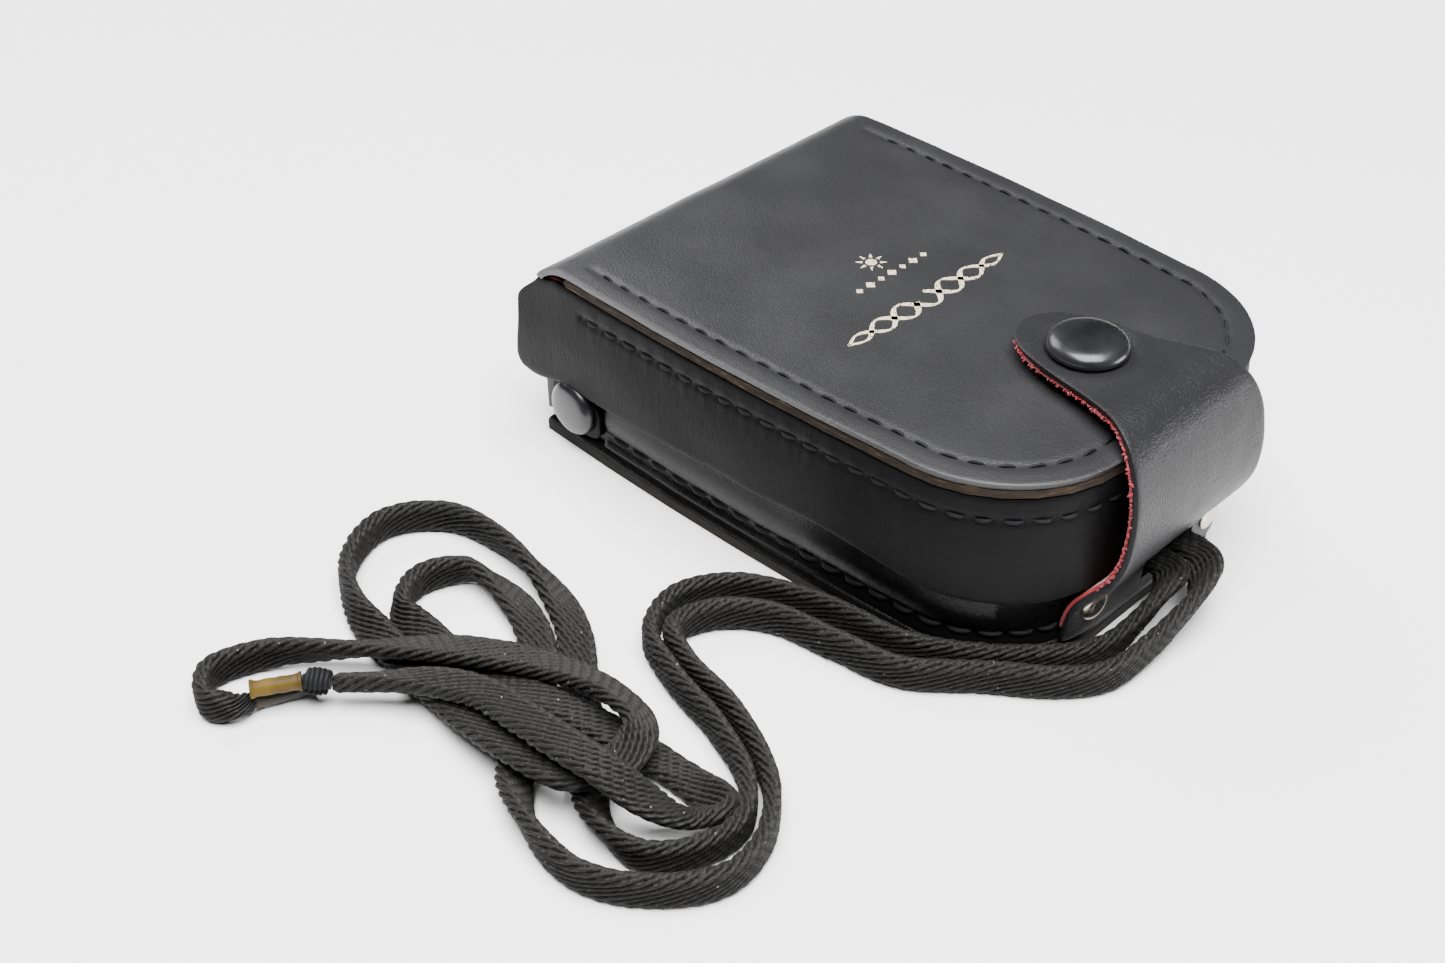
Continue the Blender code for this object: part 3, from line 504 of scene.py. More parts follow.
def make_finishes(settings):
    black = tuple(settings.leather_colour)
    worn = dimmed(black, 1.2, 0.001)
    cell = settings.grain_size
    FINISH.update({
        "panel": leather("panel_leather", black, worn, cell * 0.75, 0.035 * MM, 0.4, 0.42, 0.03),
        "strap": leather("strap_leather", black, worn, cell * 0.8, 0.06 * MM, 0.14, 0.4, 0.02,
                         (500, 180, 1000)),
        # The lid's wall and the rear wrap use the panel's black leather darkened to 30%: painted
        # shade on upright sides that face away from the overhead light.
        "side": leather("side_leather", dimmed(black, 0.3), dimmed(black, 0.4), cell * 0.8,
                        0.03 * MM, 0.05, 0.46, 0.0, (1100, 1100, 260)),
        # The base's lower wall and welt use the same black leather darkened to 20%: painted shade
        # under the lid's overhang.
        "lower": leather("lower_leather", dimmed(black, 0.2), dimmed(black, 0.3), cell * 0.7,
                         0.03 * MM, 0.12, 0.26, 0.02),
        "board": cut_edge("board_edge", (0.008, 0.006, 0.005), (0.03, 0.02, 0.013),
                          (0.13, 0.09, 0.05)),
        "edge": cut_edge("cut_board_edge", (0.012, 0.009, 0.008), (0.075, 0.048, 0.03),
                         (0.24, 0.17, 0.1)),
        "dyed": cut_edge("dyed_edge", (0.007, 0.007, 0.007), (0.016, 0.014, 0.012),
                         (0.03, 0.024, 0.02)),
        "suede": suede("red_suede_nap", tuple(settings.suede_colour),
                       dimmed(settings.suede_colour, 0.78)),
        "thread": hard("waxed_thread", (0.006, 0.006, 0.007), 0.6, size=3000.0, shine=0.12),
        # The first colour is painted shade for the gaps between the cord's strands; the cord colour
        # is the crests.
        "braid": braid("braided_yarn", (0.0018, 0.0017, 0.0016), tuple(settings.cord_colour),
                       (0.3, 0.29, 0.27)),
        "enamel": hard("black_enamel_gloss", (0.006, 0.006, 0.007), 0.28, size=300.0,
                       coat=0.1, spread=0.03, shine=0.4),
        "bright": hard("bright_rim", (0.55, 0.54, 0.52), 0.2, 1.0),
        "nickel": hard("nickel_plate", (0.62, 0.57, 0.48), 0.28, 1.0, (0.42, 0.37, 0.3)),
        "brass": hard("old_brass", (0.45, 0.3, 0.06), 0.4, 1.0, (0.22, 0.14, 0.03)),
        "amber": hard("smoked_amber", (0.01, 0.007, 0.003), 0.5, 0.0, (0.1, 0.06, 0.006),
                      size=400.0, shine=0.15),
        "smoke": hard("smoked_tube", (0.012, 0.01, 0.008), 0.45, 0.0, (0.03, 0.022, 0.012),
                      shine=0.2),
        "foil": foil("worn_foil", (0.66, 0.58, 0.42), (0.03, 0.028, 0.025)),
        "steel": hard("turned_steel", (0.5, 0.51, 0.53), 0.3, 1.0, size=1500.0),
        "copper": hard("enamelled_copper", (0.5, 0.2, 0.07), 0.35, 1.0, size=2500.0),
        "grey": hard("grey_shell", (0.045, 0.047, 0.05), 0.45, tint=(0.05, 0.052, 0.056),
                     size=1400.0, depth=0.06 * MM),
        "black": hard("black_moulding", (0.014, 0.014, 0.015), 0.42, size=1200.0,
                      depth=0.04 * MM),
        "white": hard("opal_dome", (0.82, 0.81, 0.76), 0.4, size=300.0),
        "clear": hard("clear_window", (0.95, 0.96, 0.97), 0.06, clear=0.95, depth=0.002 * MM,
                      spread=0.02),
        "card": hard("printed_card", (0.7, 0.69, 0.62), 0.5, tint=(0.78, 0.76, 0.68)),
        "red": hard("red_needle", (0.5, 0.02, 0.015), 0.4),
        "ink": hard("printed_ink", (0.01, 0.01, 0.012), 0.5),
        "light_ink": hard("white_ink", (0.75, 0.75, 0.72), 0.5),
        "circuit": hard("circuit_laminate", (0.03, 0.12, 0.05), 0.4, tint=(0.05, 0.17, 0.08)),
    })


# --- Stage ------------------------------------------------------------------------------------
def add_light(name, place, target, size, power):
    data = bpy.data.lights.new(name, "AREA")
    data.shape = "RECTANGLE"
    data.size, data.size_y = size
    data.energy = power
    lamp = bpy.data.objects.new(name, data)
    bpy.context.scene.collection.objects.link(lamp)
    lamp.location = place
    lamp.rotation_euler = (Vector(target) - Vector(place)).to_track_quat("-Z", "Y").to_euler()
    return lamp


class CASE_OT_stage(bpy.types.Operator):
    """Sets up the camera, the pale table and the soft lights"""
    bl_idname = "meter_case.stage"
    bl_label = "Stage"

    def execute(self, context):
        settings = context.scene.meter_case
        azimuth, elevation = math.radians(44.815), math.radians(38.373)
        target = Vector((-22.44, -28.84, -1.58)) * MM
        away = Vector((math.sin(azimuth) * math.cos(elevation),
                       -math.cos(azimuth) * math.cos(elevation), math.sin(elevation)))
        data = bpy.data.cameras.new("camera")
        data.lens = 47.69
        data.sensor_width = 36
        data.clip_start = 0.01
        camera = bpy.data.objects.new("camera", data)
        context.scene.collection.objects.link(camera)
        camera.location = target + away * 0.389
        camera.rotation_euler = (-away).to_track_quat("-Z", "Y").to_euler()
        context.scene.camera = camera
        deselect()
        low = min(CAD_BOX[0][2], 0.0) - 0.0001
        bpy.ops.mesh.primitive_plane_add(size=6, location=(0, 0, low))
        table = context.object
        table.name = "table"
        made, _, shader, _ = new_finish("pale_table")
        feed(shader, {"Base Color": (0.9, 0.9, 0.905, 1), "Roughness": 0.6})
        table.data.materials.append(made)
        power = settings.light_power
        add_light("overhead", (0.2, -0.15, 1.2), (0, -0.02, 0), (1.0, 1.0), power)
        add_light("right_panel", (1.2, 0.85, 0.14), (0.02, 0, 0.02), (0.8, 0.2), power * 0.2)
        add_light("left_panel", (-1.0, 0.1, 0.75), (0, 0, 0), (0.7, 0.6), power * 0.16)
        world = bpy.data.worlds.new("studio")
        world.use_nodes = True
        tree = world.node_tree
        split = add_node(tree, "SeparateXYZ", {
            0: add_node(tree, "TexCoord").outputs["Generated"]})
        feed(tree.nodes["Background"], {
            "Strength": ranged(tree, split.outputs["Z"], 0.02, 0.5, settings.room_light,
                               settings.room_light * 0.22)})
        context.scene.world = world
        return {"FINISHED"}


# --- Neck cord --------------------------------------------------------------------------------
# x, y, z in millimetres and the tilt in degrees: 0 stands on edge, 90 lies flat
CORD_A = [
    (61.2, 1.0, 9.6, 90), (64.6, 0.0, 9.6, 75), (66.0, -5.0, 8.4, 30), (65.9, -11.0, 6.2, 15),
    (64.6, -20.5, 3.6, 0),
    (57.0, -31.0, 3.4, 0), (41.0, -43.2, 3.4, 0), (20.5, -47.2, 3.4, 0), (6.0, -54.2, 3.4, 0),
    (0.5, -64.4, 3.4, 0), (3.9, -74.0, 3.4, 0), (14.1, -78.6, 3.4, 0), (29.9, -82.4, 3.4, 0),
    (41.7, -87.6, 3.4, 0), (47.4, -94.5, 3.4, 0), (46.6, -103.5, 3.4, 0), (40.4, -110.8, 3.4, 0),
    (29.5, -110.4, 3.5, 40), (18.0, -101.8, 1.5, 90), (5.1, -92.0, 1.5, 90),
    (-9.8, -81.1, 2.0, 80), (-29.3, -76.4, 3.7, 20), (-47.9, -78.5, 3.4, 0),
    (-55.3, -88.8, 3.4, 0), (-50.9, -100.4, 3.4, 0), (-39.1, -107.5, 3.7, 20),
    (-27.1, -108.4, 1.7, 85), (-9.1, -110.8, 3.9, 90), (11.5, -111.9, 7.4, 90),
    (23.2, -109.7, 8.4, 90), (25.6, -100.0, 7.3, 75), (23.6, -94.6, 9.2, 55),
    (15.6, -93.3, 9.8, 60), (1.4, -95.4, 8.0, 80), (-13.3, -103.5, 7.7, 85),
    (-29.6, -115.7, 5.2, 40), (-41.1, -126.8, 3.6, 5), (-43.7, -136.3, 3.4, 0),
    (-38.1, -140.4, 3.4, 0), (-34.3, -137.6, 3.2, 25), (-33.9, -133.6, 2.0, 75)]
CORD_B = [
    (61.2, 8.4, 9.6, 90), (66.6, 7.4, 9.5, 75), (70.6, 0.5, 8.4, 25), (71.0, -7.0, 6.6, 15),
    (70.6, -14.5, 4.6, 5), (69.3, -24.0, 3.4, 0), (64.3, -31.6, 3.4, 0), (53.9, -40.0, 3.4, 0),
    (42.4, -49.6, 3.4, 0), (29.6, -52.5, 3.4, 0), (16.2, -55.4, 3.4, 0), (8.0, -62.7, 3.4, 0),
    (6.4, -70.8, 3.4, 0), (14.0, -74.6, 3.4, 0), (30.0, -78.0, 3.4, 0), (45.6, -85.8, 3.4, 0),
    (52.7, -95.4, 3.4, 0), (53.5, -104.7, 3.4, 0), (47.3, -114.0, 3.4, 0), (36.7, -120.3, 3.4, 0),
    (24.4, -119.7, 3.6, 10), (14.6, -115.2, 3.1, 55), (7.5, -107.5, 1.5, 90),
    (3.4, -102.4, 1.4, 90), (-7.6, -90.6, 1.5, 90), (-20.3, -85.1, 2.5, 70),
    (-32.7, -85.9, 3.7, 20), (-37.3, -94.1, 3.4, 0), (-33.2, -102.0, 3.7, 20),
    (-24.9, -101.9, 2.2, 80), (-11.0, -102.5, 3.2, 90), (5.2, -100.0, 5.9, 90),
    (19.8, -96.1, 4.4, 90), (33.6, -92.9, 1.5, 90), (43.0, -94.5, 3.5, 40), (40.9, -100.1, 4.2, 60),
    (36.0, -105.3, 8.8, 90), (28.5, -108.0, 12.6, 90), (20.0, -109.0, 13.0, 90),
    (9.8, -108.7, 11.2, 90), (-2.1, -108.2, 8.4, 90), (-12.3, -112.2, 6.8, 90),
    (-19.4, -117.9, 5.6, 60), (-24.7, -122.8, 5.2, 60)]


def even_route(route, step):
    """Points every step metres on a smooth curve through the route, with their tilts."""
    points = [Vector(p) for p in route]
    points.insert(0, points[0] - Vector((2.6, 0, 0, 0)))
    knots = [0.0]
    for a, b in zip(points, points[1:]):
        knots.append(knots[-1] + math.sqrt((b.xyz - a.xyz).length))
    slopes = []
    for n, here in enumerate(points):
        if 0 < n < len(points) - 1:
            back, ahead = knots[n] - knots[n - 1], knots[n + 1] - knots[n]
            slopes.append(((here - points[n - 1]) / back * ahead
                           + (points[n + 1] - here) / ahead * back) / (back + ahead))
        else:
            a, b = (0, 1) if n == 0 else (n - 1, n)
            slopes.append((points[b] - points[a]) / (knots[b] - knots[a]))
    fine = []
    for n in range(len(points) - 1):
        span = knots[n + 1] - knots[n]
        for k in range(48):
            t = k / 48
            fine.append(points[n] * (2 * t**3 - 3 * t**2 + 1)
                        + points[n + 1] * (3 * t**2 - 2 * t**3)
                        + slopes[n] * span * (t**3 - 2 * t**2 + t)
                        + slopes[n + 1] * span * (t**3 - t**2))
    fine.append(points[-1])
    along = distances([spot.xyz for spot in fine])
    return spaced_out(fine, along, int(along[-1] * MM / step) + 1)


def flat_oval(width, thick, count):
    """Points and outward directions round a band's section, with the distance round it."""
    straight, radius = width - thick, thick / 2
    whole = 2 * straight + math.pi * thick
    section = []
    for k in range(count):
        s = whole * k / count
        if s < straight:
            section.append((s - straight / 2, radius, 0.0, 1.0))
        elif s < straight + math.pi * radius:
            angle = math.pi / 2 - (s - straight) / radius
            section.append((straight / 2 + radius * math.cos(angle), radius * math.sin(angle),
                            math.cos(angle), math.sin(angle)))
        elif s < 2 * straight + math.pi * radius:
            t = s - straight - math.pi * radius
            section.append((straight / 2 - t, -radius, 0.0, -1.0))
        else:
            angle = -math.pi / 2 - (s - 2 * straight - math.pi * radius) / radius
            section.append((-straight / 2 + radius * math.cos(angle), radius * math.sin(angle),
                            math.cos(angle), math.sin(angle)))
    return section, whole


def braided_band(name, route, settings, tail_length):
    """A flat cord whose strands wind round it, each standing proud of the gaps beside it."""
    step = 0.45 * MM
    spots = even_route(route, step)
    section, whole = flat_oval(settings.cord_width - 0.5 * MM, settings.cord_thickness - 0.5 * MM,
                               66)
    strands, lead = settings.cord_strands, 37 * MM
    verts, faces, heights = [], [], []
    line = [spot.xyz * MM for spot in spots]
    for n, centre in enumerate(spots):
        ahead = (line[min(n + 1, len(line) - 1)] - line[max(n - 1, 0)]).normalized()
        side = ahead.cross(Vector((0, 0, 1))).normalized()
        top = side.cross(ahead)
        tilt = math.radians(centre.w)
        wide = top * math.cos(tilt) - side * math.sin(tilt)
        thin = wide.cross(ahead)
        distance = n * step
        close = 0.7 + 0.3 * min(n / 3, 1.0)
        tail = (len(spots) - 1 - n) * step
        narrow = 0.42 + 0.58 * ease(tail / tail_length)
        stub = 0.75 + 0.25 * min(tail / MM, 1.0)
        for k, (w, t, ow, ot) in enumerate(section):
            phase = strands * (k / len(section)) + strands * distance / lead
            swell = abs(math.cos(math.pi * phase)) ** 0.7
            own = noise.noise(Vector((math.floor(phase) * 3.7, distance * 120, 0.5)))
            rise = (swell - 0.5) * 0.95 * MM + own * 0.16 * MM
            spot = (line[n] + wide * ((w * close * narrow + ow * rise) * stub)
                    + thin * ((t * close * (1.35 - 0.35 * narrow) + ot * rise) * stub))
            spot.z = max(spot.z, 0.0)
            verts.append(spot)
            heights.append(swell)
    ring = len(section)
    for n in range(len(spots) - 1):
        for k in range(ring):
            a, b = n * ring + k, n * ring + (k + 1) % ring
            faces.append((a, b, b + ring, a + ring))
    faces.append(tuple(reversed(range(ring))))
    faces.append(tuple((len(spots) - 1) * ring + k for k in range(ring)))
    piece = join_mesh(name, verts, faces)
    layer = piece.data.uv_layers.new(name="along")
    for face in piece.data.polygons:
        quad = face.loop_total == 4
        wraps = quad and any(v % ring == ring - 1 for v in face.vertices) and any(
            v % ring == 0 for v in face.vertices)
        for loop in face.loop_indices:
            v = piece.data.loops[loop].vertex_index
            k = v % ring
            if wraps and k == 0:
                k = ring
            layer.data[loop].uv = (whole * k / ring, (v // ring) * step)
    # Each point's height on its strand, which the braid finish turns into painted shade in the gaps
    # between strands.
    mark = piece.data.attributes.new("strand", "FLOAT", "POINT")
    mark.data.foreach_set("value", heights)
    face_outwards(piece)
    smooth(piece, 75)
    return piece, line


def sleeve(name, start, end, radius, finishes):
    """A crimped tube with a rolled rim at each end."""
    start, end = Vector(start) * MM, Vector(end) * MM
    length = (end - start).length
    rings = [(radius * 0.7, 0.0), (radius * 1.0, 0.0), (radius * 1.1, 0.1 * MM),
             (radius * 1.1, 0.5 * MM), (radius * 0.98, 0.7 * MM)]
    for n in range(1, 8):
        squeeze = 0.93 + 0.05 * math.cos(n * 2.3)
        rings.append((radius * squeeze, 0.7 * MM + (length - 1.4 * MM) * n / 8))
    rings += [(radius * 0.98, length - 0.7 * MM), (radius * 1.1, length - 0.5 * MM),
              (radius * 1.1, length - 0.1 * MM), (radius, length), (radius * 0.7, length)]
    bands = {n: 1 for n in (0, 1, 2, 3, len(rings) - 5, len(rings) - 4, len(rings) - 3,
                            len(rings) - 2)}
    piece = turned(name, rings, start, end - start, 24, bands)
    for vert in piece.data.vertices:
        vert.co += Vector((1, 1, 1)) * ripple(vert.co, 1.7 * MM, 3.0) * 0.1 * MM
    finish_piece(piece, "case_base", finishes)
    return piece


class CASE_OT_cords(bpy.types.Operator):
    """Lays the two flat braided cords and their tips"""
    bl_idname = "meter_case.cords"
    bl_label = "Neck cord"

    def execute(self, context):
        settings = context.scene.meter_case
        tips = {}
        tips["a"] = sleeve("cord_tip_a", (-33.9, -133.5, 1.9), (-29.5, -123.6, 1.75), 1.5 * MM,
                           [FINISH["smoke"], FINISH["brass"]])
        tips["b"] = sleeve("cord_tip_b", (-28.6, -126.5, 5.5), (-33.5, -134.2, 5.35), 1.6 * MM,
                           [FINISH["amber"], FINISH["brass"]])
        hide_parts("aglet_a")
        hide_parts("aglet_b")
        start, end = Vector((-25.3, -123.3, 5.25)) * MM, Vector((-28.4, -126.1, 5.5)) * MM
        verts, faces = [], []
        ahead = (end - start).normalized()
        side = ahead.cross(Vector((0, 0, 1))).normalized()
        top = side.cross(ahead)
        turns, steps = 5, 14
        line = []
        for n in range(turns * steps + 1):
            angle = 2 * math.pi * n / steps
            share = n / (turns * steps)
            reach = (1.55 + 0.35 * math.sin(share * 3.1) + 0.18 * math.sin(n * 0.9)) * MM
            line.append(start.lerp(end, share)
                        + (side * math.cos(angle) + top * math.sin(angle)) * reach)
        add_tube(verts, faces, line, [0.5 * MM] * len(line), 8)
        core = [start.lerp(end, t) for t in (-0.1, 0.2, 0.5, 0.8, 1.1)]
        add_tube(verts, faces, core, [1.3 * MM, 1.6 * MM, 1.7 * MM, 1.6 * MM, 1.2 * MM], 12)
        wrap = join_mesh("cord_whipping_thread", verts, faces)
        smooth(wrap, 60)
        finish_piece(wrap, "case_base", [FINISH["thread"]])
        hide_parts("cord_whipping")
        for letter, route, tail_length, pieces in (
                ("a", CORD_A, 9 * MM, [tips["a"]]), ("b", CORD_B, 24 * MM, [wrap, tips["b"]])):
            band, line = braided_band("neck_cord_band_" + letter, route, settings, tail_length)
            finish_piece(band, "case_base", [FINISH["braid"]])
            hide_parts("neck_cord_" + letter)
            length = distances(line)[-1]
            kept = [tuple(p) for p in line[:-2:4]] + [tuple(line[-1])]
        return {"FINISHED"}


# --- Lid --------------------------------------------------------------------------------------
def cover_rows(depth, low_z, inset=0.0):
    """x, z, half width and outward direction of rows from the front edge to the spine's foot."""
    rows = []
    count = 34
    for n in range(count):
        angle = math.pi / 2 * n / count
        rows.append((CORNER_X + (CORNER - inset) * math.cos(angle), TOP_Z - depth,
                     CORNER_Y + (CORNER - inset) * math.sin(angle), Vector((0, 0, 1))))
    roll_x = REAR_X + ROLL
    count = 100
    for n in range(count):
        x = CORNER_X + (roll_x - CORNER_X) * n / count
        rows.append((x, TOP_Z - depth, half_width(x, inset), Vector((0, 0, 1))))
    spine_half = 41.6 * MM - inset
    count = 22
    for n in range(count):
        angle = math.pi / 2 + math.pi / 2 * n / count
        out = Vector((math.cos(angle), 0, math.sin(angle)))
        half = spine_half + (half_width(roll_x, inset) - spine_half) * (1 - ease((n - 11) / 8))
        rows.append((roll_x + (ROLL - depth) * out.x, TOP_Z - ROLL + (ROLL - depth) * out.z,
                     half, out))
    count = 26
    for n in range(count + 1):
        z = TOP_Z - ROLL + (low_z - TOP_Z + ROLL) * n / count
        rows.append((REAR_X + depth, z, spine_half, Vector((-1, 0, 0))))
    return rows


def cover_piece(name, depth, low_z, inset, columns, dress):
    rows = cover_rows(depth, low_z, inset)

    def place(u, v):
        x, z, half, out = rows[round(v * (len(rows) - 1))]
        w = 2 * u - 1
        y = half * w * (1 + 0.3 * (1 - w * w))
        spot = Vector((x, y, z))
        return spot + out * dress(spot, out, half - abs(y))

    return sheet(name, columns, len(rows) - 1, place, Vector((0, 0, 20 * MM)))


PANEL_STITCH = 5.0 * MM
STITCH_PITCH = 5.1 * MM


def stitch_row(name, path, along, start, end, level, length, radius, body, seat=0.0, flat=True,
               seed=1, pitch=STITCH_PITCH, lift=0.42):
    """Thread laid in stitches along a path: each dives into the leather at its two ends."""
    rng = random.Random(seed)
    verts, faces = [], []
    distance = start
    while distance + length < end:
        skew = rng.uniform(-0.16, 0.16) * MM
        own = length * rng.uniform(0.9, 1.08)
        points, radii = [], []
        for k in range(7):
            t = k / 6
            spot, out = at_distance(path, along, distance + own * t)
            dive = math.sin(math.pi * min(max(t, 0.0), 1.0)) ** 0.5
            drop = (-0.5 + (0.5 + lift) * dive) * radius * 2
            if flat:
                inwards = -out * skew * (t - 0.5) * 2
                points.append(Vector((spot.x + inwards.x, spot.y + inwards.y, level + drop)))
            else:
                reach = out * (drop + seat)
                points.append(Vector((spot.x + reach.x, spot.y + reach.y,
                                      level + skew * (t - 0.5) * 2)))
            radii.append(radius * (0.75 + 0.25 * dive))
        up = Vector((0, 0, 1)) if flat else Vector((out.x, out.y, 0))
        add_tube(verts, faces, points, radii, 8, up)
        distance += pitch
    piece = join_mesh(name, verts, faces)
    smooth(piece, 60)
    return finish_piece(piece, body, [FINISH["thread"]])


class CASE_OT_lid(bpy.types.Operator):
    """Makes the lid's panel, which rolls over into the spine, with its stitches and its lining,
    which lies under the board
    """
    bl_idname = "meter_case.lid"
    bl_label = "Lid panel"

    def execute(self, context):
        path, along = case_path(PANEL_STITCH, -46 * MM)

        def dress(spot, out, side):
            on_top = out.z > 0.99 and spot.x > REAR_X + ROLL
            inside = depth_inside(spot.x, spot.y) if on_top else side
            rise = -0.15 * MM * (1 - min(inside / (0.8 * MM), 1.0)) ** 2
            rise += (ripple(spot, 16 * MM, 2.0) + 0.4 * ripple(spot, 6 * MM, 5.0)) * 0.13 * MM
            if spot.x > -48 * MM:
                rise -= 0.28 * MM * bell(inside - PANEL_STITCH, 0.7 * MM)
                rise += 0.1 * MM * bell(inside - 2.6 * MM, 1.4 * MM)
            return rise

        cover = cover_piece("lid_leather", 0.0, 4.3 * MM, 0.0, 104, dress)
        thicken(cover, LEATHER, edge=0.14 * MM)
        finish_piece(cover, None, [FINISH["panel"], FINISH["dyed"]])
        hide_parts("lid_cover")
        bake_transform(cover)
        stitch_row("lid_panel_stitches", path, along, 2 * MM, along[-1] - 2 * MM,
                   TOP_Z - 0.2 * MM, 3.3 * MM, 0.3 * MM, "lid", seed=4)

        board_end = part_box("lid_board")[0][0] - 0.6 * MM

        def lining_dress(spot, out, side):
            past = ease((board_end - spot.x) / (6 * MM)) if spot.z > 30 * MM else 1.0
            return 1.9 * MM * past + ripple(spot, 7 * MM, 8.0) * 0.1 * MM

        lining = cover_piece("lid_suede", LEATHER + 2.2 * MM, 16.3 * MM, 1.7 * MM, 70,
                             lining_dress)
        thicken(lining, 0.7 * MM, edge=0.15 * MM)
        finish_piece(lining, "lid", [FINISH["suede"], FINISH["suede"]])
        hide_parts("lid_lining")
        return {"FINISHED"}


def wall_low(x):
    """The wall's lower edge: it drops at the flap and rises past the middle of each side."""
    if x < -12 * MM:
        return (13.2 + 1.9 * ease((x / MM + 65) / 13) + 1.6 * ease((x / MM + 50) / 38)) * MM
    return (16.7 + 1.3 * bell(x / MM - 16, 16) - 0.9 * ease((x / MM - 20) / 40)
            + 0.5 * (1 - ease((x / MM + 12) / 12))) * MM


def flap_end(z, low):
    """How far back the flap's cut end stands at height z, with its corners rounded."""
    end = -66.8 * MM + 1.6 * MM * ease((z / MM - 15) / 12) + 7 * MM * ease((z / MM - 30.5) / 9)
    corner = 3.6 * MM
    near = min((z - low) / corner, 1.0)
    return end + corner * (1 - math.sqrt(max(1 - (1 - near) ** 2, 0.0)))


class CASE_OT_lid_wall(bpy.types.Operator):
    """Makes the wall sewn round the lid, with its flaps past the spine"""
    bl_idname = "meter_case.lid_wall"
    bl_label = "Lid wall"

    def execute(self, context):
        path, along = case_path(0.3 * MM, FLAP_X, 0.75 * MM)
        count = len(path) - 1
        stitch_z = 34.6 * MM
        length = 3.3 * MM
        root = -52 * MM

        def place(u, v):
            n = round(u * count)
            spot, out = path[n]
            low = wall_low(spot.x)
            high = WALL_TOP - 0.9 * MM * ease((-54 * MM - spot.x) / (8 * MM))
            z = low + (high - low) * v
            here = Vector((spot.x, spot.y, z))
            if spot.x < root:
                here.x = root + (spot.x - root) * (flap_end(z, low) - root) / (FLAP_X - root)
            phase = ((along[n] - 22 * MM) / STITCH_PITCH) % 1.0
            middle = length / STITCH_PITCH / 2
            off = min(abs(phase - middle), 1 - abs(phase - middle)) * STITCH_PITCH
            pull = bell(off, 1.7 * MM)
            hole = bell(off - length / 2, 0.55 * MM)
            rise = ripple(here, 14 * MM, 1.0) * 0.22 * MM
            if 20 * MM < along[n] < along[-1] - 20 * MM:
                rise -= (0.22 + 0.2 * pull) * MM * bell(z - stitch_z, 0.75 * MM)
                rise -= 0.35 * MM * hole * bell(z - stitch_z, 0.7 * MM)
                rise += 0.16 * MM * pull * bell(z - stitch_z - 2.1 * MM, 1.0 * MM)
                rise -= 0.14 * MM * hole * bell(z - stitch_z + 1.8 * MM, 1.6 * MM)
            rise += 0.35 * MM * bell(z - 25 * MM, 8 * MM)
            rise -= 0.3 * MM * (1 - min((high - z) / (1.0 * MM), 1.0)) ** 2
            rise -= 0.25 * MM * (1 - min((z - low) / (1.0 * MM), 1.0)) ** 2
            flap = ease((-54 * MM - spot.x) / (12 * MM))
            rise += 0.5 * MM * flap * bell(z - 22 * MM, 10 * MM)
            return here + Vector((out.x, out.y, 0)) * rise

        wall = sheet("lid_side_leather", count, 34, place, Vector((0, 0, 25 * MM)))
        thicken(wall, LEATHER - 0.1 * MM)
        finish_piece(wall, "lid", [FINISH["side"], FINISH["edge"]])
        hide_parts("lid_wall")
        stitch_row("lid_side_stitches", path, along, 22 * MM, along[-1] - 22 * MM, stitch_z,
                   length, 0.34 * MM, "lid", seat=-0.3 * MM, flat=False, seed=9)
        return {"FINISHED"}


